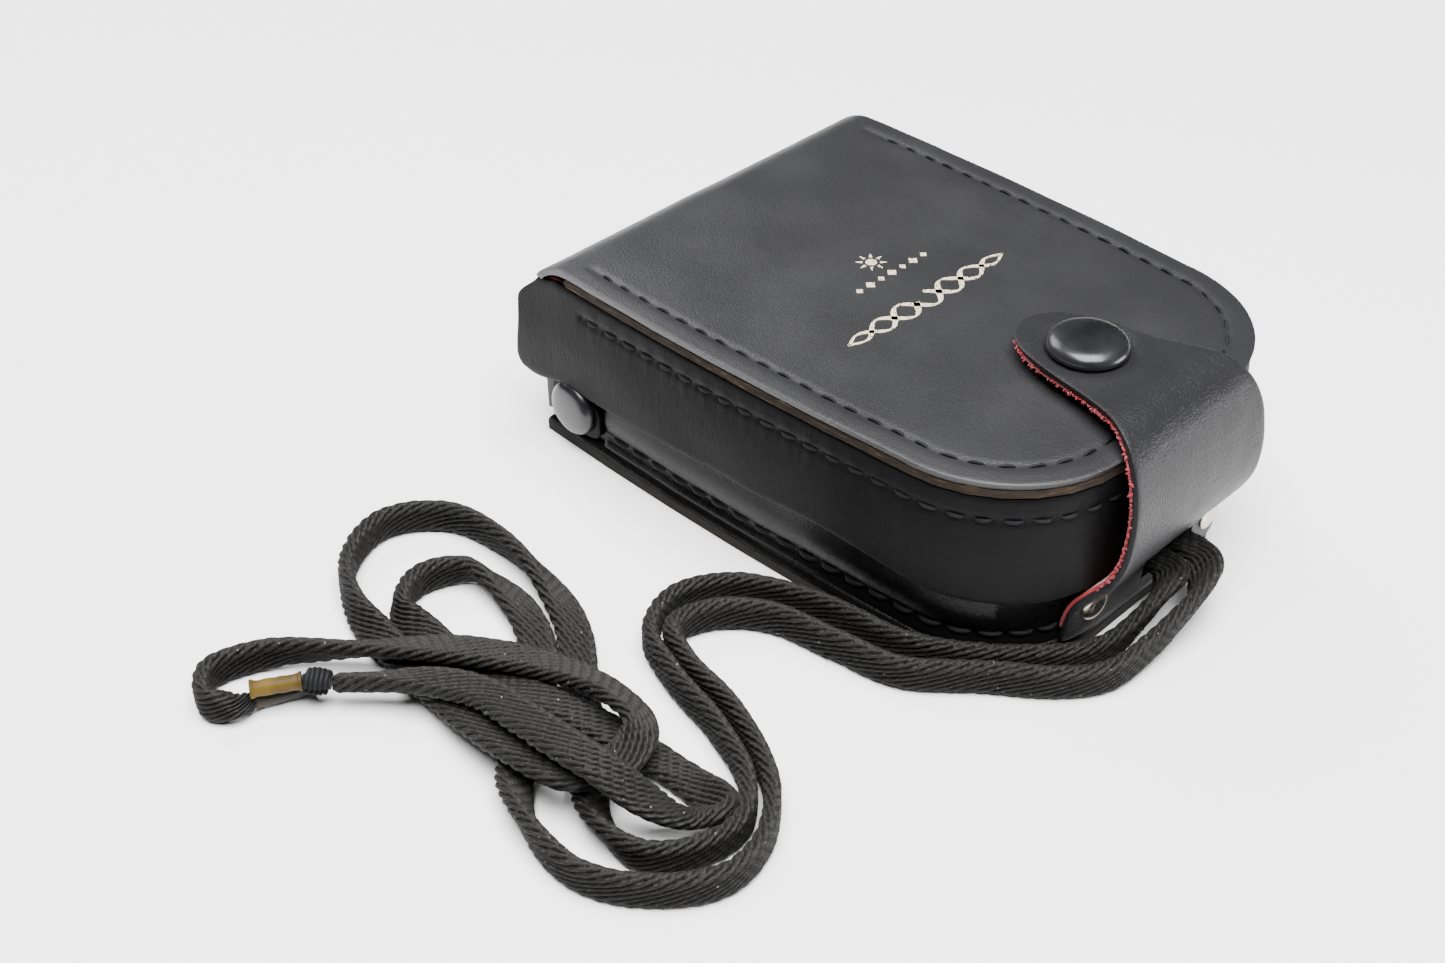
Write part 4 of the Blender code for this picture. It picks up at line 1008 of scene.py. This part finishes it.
# --- Base -------------------------------------------------------------------------------------
class CASE_OT_base(bpy.types.Operator):
    """Makes the lower wall, its welt, the wrap round its back and its lining"""
    bl_idname = "meter_case.base"
    bl_label = "Base"

    def execute(self, context):
        path, _ = case_path(3.3 * MM, -58 * MM, 0.8 * MM, closed=True)
        count = len(path) - 1
        seam_z = 6.4 * MM

        def place(u, v):
            spot, out = path[round(u * count)]
            z = 3.7 * MM + 21.2 * MM * v
            here = Vector((spot.x, spot.y, z))
            swell = 0.0 if out.x < -0.5 or spot.x < -43 * MM else 1.0
            rise = ripple(here, 12 * MM, 6.0) * 0.25 * MM * swell
            rise += 0.7 * MM * bell(z - 10.5 * MM, 3.4 * MM) * swell
            rise -= 0.5 * MM * bell(z - seam_z, 0.8 * MM) * swell
            if spot.x > 50 * MM:
                rise = min(rise, 0.0)
            rise += 0.9 * MM * (1 - ease((z - 3.7 * MM) / (2.2 * MM))) * swell
            return here + Vector((out.x, out.y, 0)) * rise

        wall = sheet("base_side_leather", count, 30, place, Vector((0, 0, 12 * MM)))
        thicken(wall, 1.5 * MM)
        finish_piece(wall, "case_base", [FINISH["lower"], FINISH["dyed"]])
        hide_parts("base_wall")
        seam, seam_along = case_path(3.3 * MM, -42 * MM)
        stitch_row("base_side_stitches", seam, seam_along, 1 * MM, seam_along[-1] - 1 * MM,
                   seam_z, 4.4 * MM, 0.5 * MM, "case_base", seat=-0.25 * MM, flat=False, seed=3,
                   pitch=5.6 * MM)

        board, _ = case_path(1.4 * MM, -59.4 * MM, 1.0 * MM, closed=True)
        ring = len(board) - 1

        def welt_place(u, v):
            spot, out = board[round(u * ring)]
            wave = ripple(Vector((spot.x, spot.y, 0)), 9 * MM, 11.0) * 0.2 * MM
            inner = 3.6 * MM * v - wave * (1 - v)
            z = 2.45 * MM + 1.25 * MM * math.sin(min(v * 3.2, 1.0) * math.pi / 2) + 0.25 * MM * v
            x = max(spot.x - out.x * inner, board[0][0].x + inner)
            y = spot.y - out.y * inner
            limit = abs(board[0][0].y) - inner
            if out.x < -0.5:
                y = math.copysign(min(abs(y), limit), y)
            return Vector((x, y, z))

        welt = sheet("base_welt_leather", ring, 10, welt_place, Vector((0, 0, -60 * MM)))
        thicken(welt, 0.9 * MM, edge=0.15 * MM, even=False)
        finish_piece(welt, "case_base", [FINISH["lower"], FINISH["dyed"]])
        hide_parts("base_welt")
        self.make_wrap()
        self.make_lining()
        return {"FINISHED"}

    def make_wrap(self):
        """The band round the back of the base, with a snapped tab on each side."""
        near = []
        reach = -43.5 * MM
        for n in range(19):
            x = reach + (-57.6 * MM - reach) * n / 18
            near.append((Vector((x, -half_width(x, 2.0 * MM))), Vector((0, -1))))
        centre = Vector((-57.6 * MM, -half_width(-57.6 * MM, 2.0 * MM) + 1.8 * MM))
        for n in range(1, 7):
            angle = -math.pi / 2 - math.pi / 2 * n / 6
            out = Vector((math.cos(angle), math.sin(angle)))
            near.append((centre + out * 1.8 * MM, out))
        far = [(Vector((p.x, -p.y)), Vector((o.x, -o.y))) for p, o in reversed(near)]
        gap = far[0][0] - near[-1][0]
        middle = [(near[-1][0] + gap * n / 40, Vector((-1, 0))) for n in range(1, 40)]
        path = near + middle + far

        def place(u, v):
            spot, out = path[round(u * (len(path) - 1))]
            past = min((reach - spot.x) / (4.5 * MM), 1.0)
            cut = 2.6 * MM * (1 - math.sqrt(max(1 - (1 - past) ** 2, 0.0)))
            z = (4.1 * MM + cut) + (13.5 * MM - 4.1 * MM - 2 * cut) * v
            here = Vector((spot.x, spot.y, z))
            side = 0.0 if abs(out.x) > 0.5 else 1.0
            rise = ripple(here, 6 * MM, 4.0) * 0.15 * MM * side
            return here + Vector((out.x, out.y, 0)) * rise

        wrap = sheet("rear_wrap_leather", len(path) - 1, 14, place, Vector((-40 * MM, 0, 9 * MM)))
        thicken(wrap, 0.85 * MM, edge=0.15 * MM)
        finish_piece(wrap, "case_base", [FINISH["side"], FINISH["suede"]])
        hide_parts("rear_wrap")

    def make_lining(self):
        """Suede that lines the walls and the floor, where the meter lies."""
        path, _ = case_path(5.2 * MM, -56.2 * MM, 1.2 * MM, closed=True)
        count = len(path) - 1

        def place(u, v):
            spot, out = path[round(u * count)]
            z = 4.9 * MM + 19.2 * MM * v
            here = Vector((spot.x, spot.y, z))
            return here + Vector((out.x, out.y, 0)) * ripple(here, 8 * MM, 7.0) * 0.12 * MM

        lining = sheet("base_suede", count, 16, place, Vector((0, 0, 12 * MM)))
        thicken(lining, 0.7 * MM, edge=0.15 * MM)
        finish_piece(lining, "case_base", [FINISH["suede"], FINISH["suede"]])
        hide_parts("base_lining")
        floor = cover_floor()
        finish_piece(floor, "case_base", [FINISH["suede"], FINISH["suede"]])


def cover_floor():
    """The floor of the tray, cut to the case's outline."""
    rows = [row for row in cover_rows(0.0, 4 * MM, 5.4 * MM) if row[3].z > 0.99]
    rows.append((-55.8 * MM, TOP_Z, half_width(-55.8 * MM, 5.4 * MM), Vector((0, 0, 1))))

    def place(u, v):
        x, _, half, _ = rows[round(v * (len(rows) - 1))]
        spot = Vector((x, half * (2 * u - 1), 4.75 * MM))
        return spot + Vector((0, 0, ripple(spot, 9 * MM, 9.0) * 0.08 * MM))

    floor = sheet("base_suede_floor", 50, len(rows) - 1, place, Vector((0, 0, -1)))
    thicken(floor, 0.6 * MM, edge=0)
    return floor


# --- Closing strap ----------------------------------------------------------------------------
STRAP_SIDE = [  # x, z and half width in mm of the outer face, from the foot to the tip
    (60.2, 4.3, 24.0), (60.3, 8.0, 23.6), (60.7, 11.2, 22.8),
    (62.2, 14.6, 21.4), (64.4, 18.0, 20.6), (66.2, 22.8, 20.3), (66.9, 28.2, 20.0),
    (66.7, 34.0, 19.6), (65.6, 39.6, 19.0), (63.4, 44.0, 18.0), (60.0, 46.9, 16.4),
    (55.6, 47.9, 14.4), (50.6, 47.7, 12.8), (46.0, 47.4, 11.6), (41.5, 47.3, 10.9),
    (37.0, 47.3, 9.9), (32.4, 47.2, 8.3), (29.0, 47.1, 6.2), (27.0, 47.0, 3.6), (26.2, 47.0, 0.6)]


def smooth_run(points, count):
    """count points evenly spaced on a smooth curve through rows of numbers."""
    fine = []
    last = len(points) - 1
    for n in range(last):
        a, b = Vector(points[n]), Vector(points[n + 1])
        before, after = Vector(points[max(n - 1, 0)]), Vector(points[min(n + 2, last)])
        for k in range(20):
            t = k / 20
            fine.append(0.5 * (2 * a + (b - before) * t
                               + (2 * before - 5 * a + 4 * b - after) * t * t
                               + (3 * a - before - 3 * b + after) * t**3))
    fine.append(Vector(points[-1]))
    return spaced_out(fine, distances([row.xy for row in fine]), count)


def front_back_off(y):
    """How far the front of the case falls back at y, where its corners round off."""
    past = max(abs(y) - CORNER_Y, 0.0)
    radius = CORNER - 1 * MM
    return radius - math.sqrt(radius ** 2 - past ** 2)


def strap_sheet(name, depth, trim, columns, count, first, thickness, tip=0.0):
    rows = smooth_run(STRAP_SIDE, count)[first:]
    rows = rows[:len(rows) - int(tip)]

    def place(u, v):
        n = round(v * (len(rows) - 1))
        row = rows[n]
        run = rows[min(n + 1, len(rows) - 1)] - rows[max(n - 1, 0)]
        along = Vector((run.x, 0, run.y)).normalized()
        out = Vector((along.z, 0, -along.x))
        half = max(row.z * MM - trim, 0.3 * MM)
        y = half * (2 * u - 1)
        spot = Vector((row.x * MM, y, row.y * MM)) - out * depth
        spot.x -= front_back_off(y) * (1 - ease((row.y - 10) / 8)) if row.x > 55 else 0.0
        edge = min(half - abs(y), 6 * MM)
        rise = (ripple(spot, 12 * MM, 12.0) * 0.2 + ripple(spot, 5 * MM, 3.0) * 0.07) * MM
        reach = math.hypot(spot.x - SNAP_X, y)
        if row.y > 46:
            rise -= 0.35 * MM * bell(reach - 7.2 * MM, 1.8 * MM)
            rise += 0.15 * MM * bell(reach - 10.2 * MM, 1.4 * MM)
        rise -= 0.12 * MM * (1 - min(edge / (0.7 * MM), 1.0)) ** 2 if depth == 0 else 0.0
        curl = bell(row.y - 30, 12) if row.x > 60 else 0.0
        rise += 0.5 * MM * curl * (abs(y) / half) ** 3
        return spot + out * rise

    def slit(centre):
        return (-3.4 * MM < centre.y < 12.2 * MM and 7.6 * MM < centre.z < 11.6 * MM
                and centre.x > 50 * MM)

    piece = sheet(name, columns, len(rows) - 1, place, Vector((20 * MM, 0, 20 * MM)), slit)
    thicken(piece, thickness, edge=0.12 * MM)
    return piece


class CASE_OT_strap(bpy.types.Operator):
    """Makes the closing strap with its suede back and frayed edge"""
    bl_idname = "meter_case.strap"
    bl_label = "Closing strap"

    def execute(self, context):
        strap = strap_sheet("strap_outer_leather", 0.0, 0.0, 60, 110, 0, LEATHER)
        finish_piece(strap, None, [FINISH["strap"], FINISH["dyed"]])
        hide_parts("closing_strap", "strap_foot")
        lining = strap_sheet("strap_suede", LEATHER + 0.05 * MM, 0.45 * MM, 60, 110, 3,
                             SUEDE - 0.1 * MM, 2)
        finish_piece(lining, None, [FINISH["suede"], FINISH["suede"]])
        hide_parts("strap_lining")
        tufts = self.make_tufts()
        for piece in (strap, lining, tufts):
            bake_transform(piece)
        return {"FINISHED"}

    def make_tufts(self):
        """Nap that stands out along the strap's cut edges."""
        rng = random.Random(21)
        rows = smooth_run(STRAP_SIDE, 400)
        verts, faces = [], []
        for n in range(60, 392):
            row = rows[n]
            run = rows[min(n + 1, 399)] - rows[n - 1]
            along = Vector((run.x, 0, run.y)).normalized()
            out = Vector((along.z, 0, -along.x))
            for side in (-1, 1):
                if rng.random() < 0.4:
                    continue
                y = side * (row.z * MM + rng.uniform(-0.5, 0.0) * MM)
                deep = rng.uniform(1.4, 1.95) * MM
                spot = Vector((row.x * MM, y, row.y * MM)) - out * deep
                if row.x > 55:
                    spot.x -= front_back_off(y) * (1 - ease((row.y - 10) / 8))
                    spot += out * 0.5 * MM * bell(row.y - 30, 12)
                lean = Vector((rng.uniform(-1, 1), side * rng.uniform(0.4, 1.4),
                               rng.uniform(-1, 0.4))).normalized()
                size = rng.uniform(0.1, 0.22) * MM
                if rng.random() < 0.08:
                    size *= 2.0
                points = [spot + lean * size * t for t in (-1.2, 0, 1.2, 2.2)]
                add_tube(verts, faces, points, [size * 0.7, size, size * 0.8, size * 0.3], 5)
        tufts = join_mesh("strap_suede_tufts", verts, faces)
        smooth(tufts, 80)
        return finish_piece(tufts, None, [FINISH["suede"]])


# --- Snaps and rivets -------------------------------------------------------------------------
# Radius and height of each ring of a turned piece: the snap's radii are shares of its own
SNAP_RINGS = ((0.93, 0.05), (0.985, 0.12), (1.0, 0.4), (1.0, 0.75), (0.985, 1.15), (0.95, 1.6),
              (0.9, 2.0), (0.82, 2.35), (0.7, 2.62), (0.5, 2.84), (0.25, 2.96), (0.0026, 3.0))
RIVET_RINGS = ((3.0, 0.0), (3.15, 0.12), (3.1, 0.4), (2.8, 0.68), (2.2, 0.86), (1.5, 0.9),
               (1.1, 0.78), (0.6, 0.7), (0.02, 0.68))


class CASE_OT_fittings(bpy.types.Operator):
    """Makes the snap caps and the rivets"""
    bl_idname = "meter_case.fittings"
    bl_label = "Snaps and rivets"

    def execute(self, context):
        settings = context.scene.meter_case
        radius = settings.snap_radius
        cap = [(radius * wide, high * MM) for wide, high in SNAP_RINGS]
        top = turned("strap_cap_enamel", cap, (SNAP_X, 0, 47.55 * MM), (0, 0, 1), 72,
                     {0: 1, 1: 1, 2: 0})
        finish_piece(top, "strap", [FINISH["enamel"], FINISH["bright"]])
        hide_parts("strap_snap_cap")
        side_radius = 5.9 * MM
        for side, place in ((-1, "near"), (1, "far")):
            x, z = -50.5 * MM, 10.1 * MM
            rings = [(side_radius * wide, high * 0.86 * MM) for wide, high in SNAP_RINGS]
            y = side * (half_width(x, 2.0 * MM) + 0.4 * MM)
            button = turned("side_cap_enamel_" + place, rings, (x, y, z), (0, side, 0), 56,
                            {0: 1, 1: 1, 2: 0})
            finish_piece(button, "case_base", [FINISH["enamel"], FINISH["bright"]])
            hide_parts("side_snap_cap_" + place)
            y = side * 18 * MM
            out = Vector((math.sqrt((CORNER - 1 * MM) ** 2 - (18 * MM - CORNER_Y) ** 2),
                          side * (18 * MM - CORNER_Y), 0)).normalized()
            head = [(wide * MM, high * MM) for wide, high in RIVET_RINGS]
            x = 60.35 * MM - front_back_off(y)
            rivet = turned("strap_rivet_head_" + place, head, (x, y, 10.6 * MM), out, 36)
            finish_piece(rivet, "case_base", [FINISH["nickel"]])
            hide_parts("strap_rivet_" + place)
        return {"FINISHED"}


# --- Foil ornament ----------------------------------------------------------------------------
def inlay(name, outlines):
    """Thin pressed shapes lying on the lid's top, from lists of x, y outlines in mm."""
    verts, faces = [], []
    for outline in outlines:
        base = len(verts)
        count = len(outline)
        for z in (TOP_Z - 0.12 * MM, TOP_Z + 0.09 * MM):
            verts += [Vector((x * MM, y * MM, z)) for x, y in outline]
        faces.append(tuple(base + count + n for n in range(count)))
        faces.append(tuple(base + n for n in reversed(range(count))))
        for n in range(count):
            a, b = base + n, base + (n + 1) % count
            faces.append((a, b, b + count, a + count))
    piece = join_mesh(name, verts, faces)
    face_outwards(piece)
    return finish_piece(piece, "lid", [FINISH["foil"]])


def stroke(points, widths):
    """The outline of a pen stroke, cut into short quads."""
    quads, last = [], None
    for n, (x, y) in enumerate(points):
        ax, ay = points[max(n - 1, 0)]
        bx, by = points[min(n + 1, len(points) - 1)]
        length = math.hypot(bx - ax, by - ay) or 1.0
        nx, ny = -(by - ay) / length * widths[n] / 2, (bx - ax) / length * widths[n] / 2
        pair = ((x + nx, y + ny), (x - nx, y - ny))
        if last:
            quads.append([last[0], last[1], pair[1], pair[0]])
        last = pair
    return quads


class CASE_OT_ornament(bpy.types.Operator):
    """Presses a plain foil ornament into the lid: a small sun and a twisted line"""
    bl_idname = "meter_case.ornament"
    bl_label = "Foil ornament"

    def execute(self, context):
        shapes = []
        for strand in (0.0, math.pi):
            points, widths = [], []
            for n in range(97):
                t = n / 96
                swell = math.sin(math.pi * t) ** 0.5
                x = 5.5 + 2.5 * swell * math.sin(2 * math.pi * 3.5 * t + strand)
                points.append((x, -24.5 + 45 * t))
                slope = abs(math.cos(2 * math.pi * 3.5 * t + strand))
                widths.append(0.35 + 0.95 * slope * swell)
            shapes += stroke(points, widths)
        sun_x, sun_y = -10.5, 0.0
        turns = [a * math.pi / 12 for a in range(24)]
        shapes.append([(sun_x + 1.15 * math.cos(turn), sun_y + 1.15 * math.sin(turn))
                       for turn in turns])
        for k in range(8):
            angle = k * math.pi / 4
            ray = [(sun_x + r * math.cos(angle), sun_y + r * math.sin(angle))
                   for r in (1.7, 2.3, 3.0)]
            shapes += stroke(ray, [0.7, 0.5, 0.2])
        for k in range(-3, 4):
            y = k * 3.1
            reach = 0.85 if k % 2 else 1.15
            shapes.append([(-5.2 + reach, y), (-5.2, y + reach), (-5.2 - reach, y),
                           (-5.2, y - reach)])
        inlay("lid_foil_ornament", shapes)
        return {"FINISHED"}


# --- The meter --------------------------------------------------------------------------------
NODE_FINISH = {
    "base_board": "dyed", "lid_board": "board", "lid_snap_stud": "nickel",
    "strap_snap_socket": "nickel", "meter_back_shell": "grey", "meter_front_shell": "grey",
    "meter_screw_1": "steel", "meter_screw_2": "steel", "meter_screw_3": "steel",
    "meter_screw_4": "steel", "scale_window": "clear", "scale_plate": "card",
    "magnet_yoke": "steel", "moving_coil": "copper", "movement_frame": "brass",
    "pointer_needle": "red", "circuit_board": "circuit", "zero_screw": "brass",
    "dial_ring": "black", "speed_disc": "card", "dial_hub": "nickel", "cell_window": "clear",
    "photocell": "black", "dome_track": "black", "diffuser_dome": "white",
    "range_switch": "black", "battery_door": "black", "battery_sleeve": "black",
    "battery_1": "steel", "battery_2": "steel", "battery_contact": "brass"}


HUB_X = -20 * MM
PIVOT_X = 15 * MM
STOPS = ("1", "1.4", "2", "2.8", "4", "5.6", "8", "11", "16", "22", "32", "45")
SPEEDS = ("1", "2", "4", "8", "15", "30", "60", "125", "250", "500", "1000", "50")


def on_circle(centre_x, radius, angle):
    """x and y of a point of a circle whose centre lies on the case's middle line."""
    return centre_x + radius * math.cos(angle), radius * math.sin(angle)


def dial_entries(texts, radius):
    """Text, place and turn of numbers that stand clockwise round the dial's hub."""
    return [(text, *on_circle(HUB_X, radius, -n * math.pi / 6), -n * math.pi / 6 - math.pi / 2)
            for n, text in enumerate(texts)]


def add_mark(verts, faces, x, y, angle, length, width, low, high):
    """A printed line, centred on x, y and pointing along angle."""
    along = Vector((math.cos(angle), math.sin(angle), 0)) * length / 2
    across = Vector((-math.sin(angle), math.cos(angle), 0)) * width / 2
    base = len(verts)
    for z in (low, high):
        centre = Vector((x, y, z))
        verts += [centre - along - across, centre + along - across, centre + along + across,
                  centre - along + across]
    faces += [(base + 3, base + 2, base + 1, base), (base + 4, base + 5, base + 6, base + 7)]
    for n in range(4):
        a, b = base + n, base + (n + 1) % 4
        faces.append((a, b, b + 4, a + 4))


def dial_marks(name, count, every, lengths, radius, width, top, body, finish):
    """Marks round the hub, which end on one circle; every so many of them is a long one."""
    verts, faces = [], []
    for n in range(count):
        angle = 2 * math.pi * n / count
        length = (lengths[1] if n % every else lengths[0]) * MM
        x, y = on_circle(HUB_X, radius - length / 2, angle)
        add_mark(verts, faces, x, y, angle, length, width, top - 0.05 * MM, top + 0.04 * MM)
    finish_piece(join_mesh(name, verts, faces), body, [finish])


def numbers(name, entries, size, z, body, finish):
    """Plain numbers laid flat: entries are (text, x, y, turn)."""
    parts = []
    for text, x, y, turn in entries:
        deselect()
        bpy.ops.object.text_add(location=(0, 0, 0))
        word = bpy.context.object
        word.data.body = text
        word.data.size = size
        word.data.align_x = "CENTER"
        word.data.align_y = "CENTER"
        word.data.resolution_u = 3
        word.data.extrude = 0.03 * MM
        word.data.offset = 0.05 * MM
        bpy.ops.object.convert(target="MESH")
        word = bpy.context.object
        word.data.transform(Matrix.Translation((x, y, z)) @ Matrix.Rotation(turn, 4, "Z"))
        parts.append(word)
    deselect()
    for word in parts:
        word.select_set(True)
    bpy.context.view_layer.objects.active = parts[0]
    bpy.ops.object.join()
    piece = bpy.context.object
    piece.name = piece.data.name = name
    shape = bmesh.new()
    shape.from_mesh(piece.data)
    bmesh.ops.remove_doubles(shape, verts=shape.verts, dist=0.001 * MM)
    bmesh.ops.recalc_face_normals(shape, faces=shape.faces)
    shape.to_mesh(piece.data)
    shape.free()
    return finish_piece(piece, body, [finish])


class CASE_OT_meter(bpy.types.Operator):
    """Finishes the meter that lies in the case and prints its dial and scale"""
    bl_idname = "meter_case.meter"
    bl_label = "Meter"

    def execute(self, context):
        for node, finish in NODE_FINISH.items():
            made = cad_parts[node]
            made.data.materials.clear()
            made.data.materials.append(FINISH[finish])
            make_active(made)
        ring_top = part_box("dial_ring")[1][2]
        dial_marks("dial_ring_marks", 120, 5, (1.6, 0.9), 26.9 * MM, 0.18 * MM, ring_top, "dial",
                   FINISH["light_ink"])
        numbers("dial_ring_numbers", dial_entries(STOPS, 23.9 * MM), 2.3 * MM,
                ring_top + 0.01 * MM, "dial", FINISH["light_ink"])
        disc_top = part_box("speed_disc")[1][2]
        numbers("speed_disc_numbers", dial_entries(SPEEDS, 16.8 * MM), 2.5 * MM,
                disc_top + 0.01 * MM, "speed", FINISH["ink"])
        dial_marks("speed_disc_marks", 72, 6, (1.5, 0.8), 20.0 * MM, 0.25 * MM, disc_top,
                   "speed", FINISH["ink"])
        plate_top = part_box("scale_plate")[1][2]
        verts, faces, entries = [], [], []
        for n in range(41):
            angle = math.radians(-42 + 84 * n / 40)
            length = (2.2 if n % 5 == 0 else 1.2) * MM
            add_mark(verts, faces, *on_circle(PIVOT_X, 20.5 * MM, angle), angle, length,
                     0.3 * MM, plate_top - 0.05 * MM, plate_top + 0.05 * MM)
            if n % 10 == 0:
                entries.append((str(n // 2), *on_circle(PIVOT_X, 16.6 * MM, angle),
                                angle - math.pi / 2))
        marks = join_mesh("scale_marks", verts, faces)
        finish_piece(marks, "case_base", [FINISH["ink"]])
        numbers("scale_numbers", entries, 3.0 * MM, plate_top + 0.02 * MM, "case_base",
                FINISH["ink"])
        self.make_knurl(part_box("dial_ring"))
        return {"FINISHED"}

    def make_knurl(self, box):
        """Finger ribs round the dial ring's rim."""
        low, high = box[0][2] + 0.15 * MM, box[1][2] - 0.85 * MM
        verts, faces = [], []
        for n in range(96):
            angle = 2 * math.pi * n / 96
            x, y = on_circle(HUB_X, 29 * MM, angle)
            points = [Vector((x, y, z)) for z in (low, (low + high) / 2, high)]
            add_tube(verts, faces, points, [0.4 * MM, 0.45 * MM, 0.35 * MM], 6,
                     Vector((1, 0, 0)))
        ribs = join_mesh("dial_ring_ribs", verts, faces)
        smooth(ribs, 50)
        finish_piece(ribs, "dial", [FINISH["black"]])


# --- Settings, panel and start ----------------------------------------------------------------
class CaseSettings(bpy.types.PropertyGroup):
    leather_colour: FloatVectorProperty(
        name="Leather", description="Colour of the grained leather", subtype="COLOR",
        default=(0.012, 0.012, 0.013), min=0, max=1)
    suede_colour: FloatVectorProperty(
        name="Suede", description="Colour of the lining", subtype="COLOR",
        default=(0.29, 0.006, 0.015), min=0, max=1)
    cord_colour: FloatVectorProperty(
        name="Cord", description="Colour of the strands' crests", subtype="COLOR",
        default=(0.0105, 0.0097, 0.0088), min=0, max=1)
    grain_size: FloatProperty(
        name="Grain", description="Width of one pebble of the leather's grain", unit="LENGTH",
        default=0.95 * MM, min=0.2 * MM)
    cord_width: FloatProperty(
        name="Cord width", description="Width of the flat cord", unit="LENGTH",
        default=6.6 * MM, min=2 * MM)
    cord_thickness: FloatProperty(
        name="Cord thickness", description="Thickness of the flat cord", unit="LENGTH",
        default=2.6 * MM, min=1 * MM)
    cord_strands: IntProperty(
        name="Strands", description="Strands that wind round the cord", default=14, min=6)
    snap_radius: FloatProperty(
        name="Snap radius", description="Radius of the strap's snap cap", unit="LENGTH",
        default=7.6 * MM, min=3 * MM)
    light_power: FloatProperty(
        name="Light", description="Power of the overhead light", unit="POWER", default=80.0,
        min=0)
    room_light: FloatProperty(
        name="Room light", description="Strength of the light from all around", default=0.9,
        min=0)


class CASE_PT_panel(bpy.types.Panel):
    """Lists the case's settings and the operators that make its pieces"""
    bl_idname = "CASE_PT_panel"
    bl_label = "Meter case"
    bl_space_type = "VIEW_3D"
    bl_region_type = "UI"
    bl_category = "Meter case"

    def draw(self, context):
        settings = context.scene.meter_case
        for name in CaseSettings.__annotations__:
            self.layout.prop(settings, name)
        for operator in OPERATORS:
            self.layout.operator(operator.bl_idname)


OPERATORS = (CASE_OT_stage, CASE_OT_cords, CASE_OT_lid, CASE_OT_lid_wall, CASE_OT_base,
             CASE_OT_strap, CASE_OT_fittings, CASE_OT_ornament, CASE_OT_meter)
CLASSES = (CaseSettings, CASE_PT_panel) + OPERATORS


def register():
    for item in CLASSES:
        bpy.utils.register_class(item)
    bpy.types.Scene.meter_case = PointerProperty(type=CaseSettings)


def unregister():
    del bpy.types.Scene.meter_case
    for item in reversed(CLASSES):
        bpy.utils.unregister_class(item)


def main():
    register()
    make_finishes(bpy.context.scene.meter_case)
    bpy.ops.meter_case.stage()
    bpy.ops.meter_case.cords()
    bpy.ops.meter_case.lid()
    bpy.ops.meter_case.lid_wall()
    bpy.ops.meter_case.base()
    bpy.ops.meter_case.strap()
    bpy.ops.meter_case.fittings()
    bpy.ops.meter_case.ornament()
    bpy.ops.meter_case.meter()
    deselect()


if __name__ == "__main__":
    main()
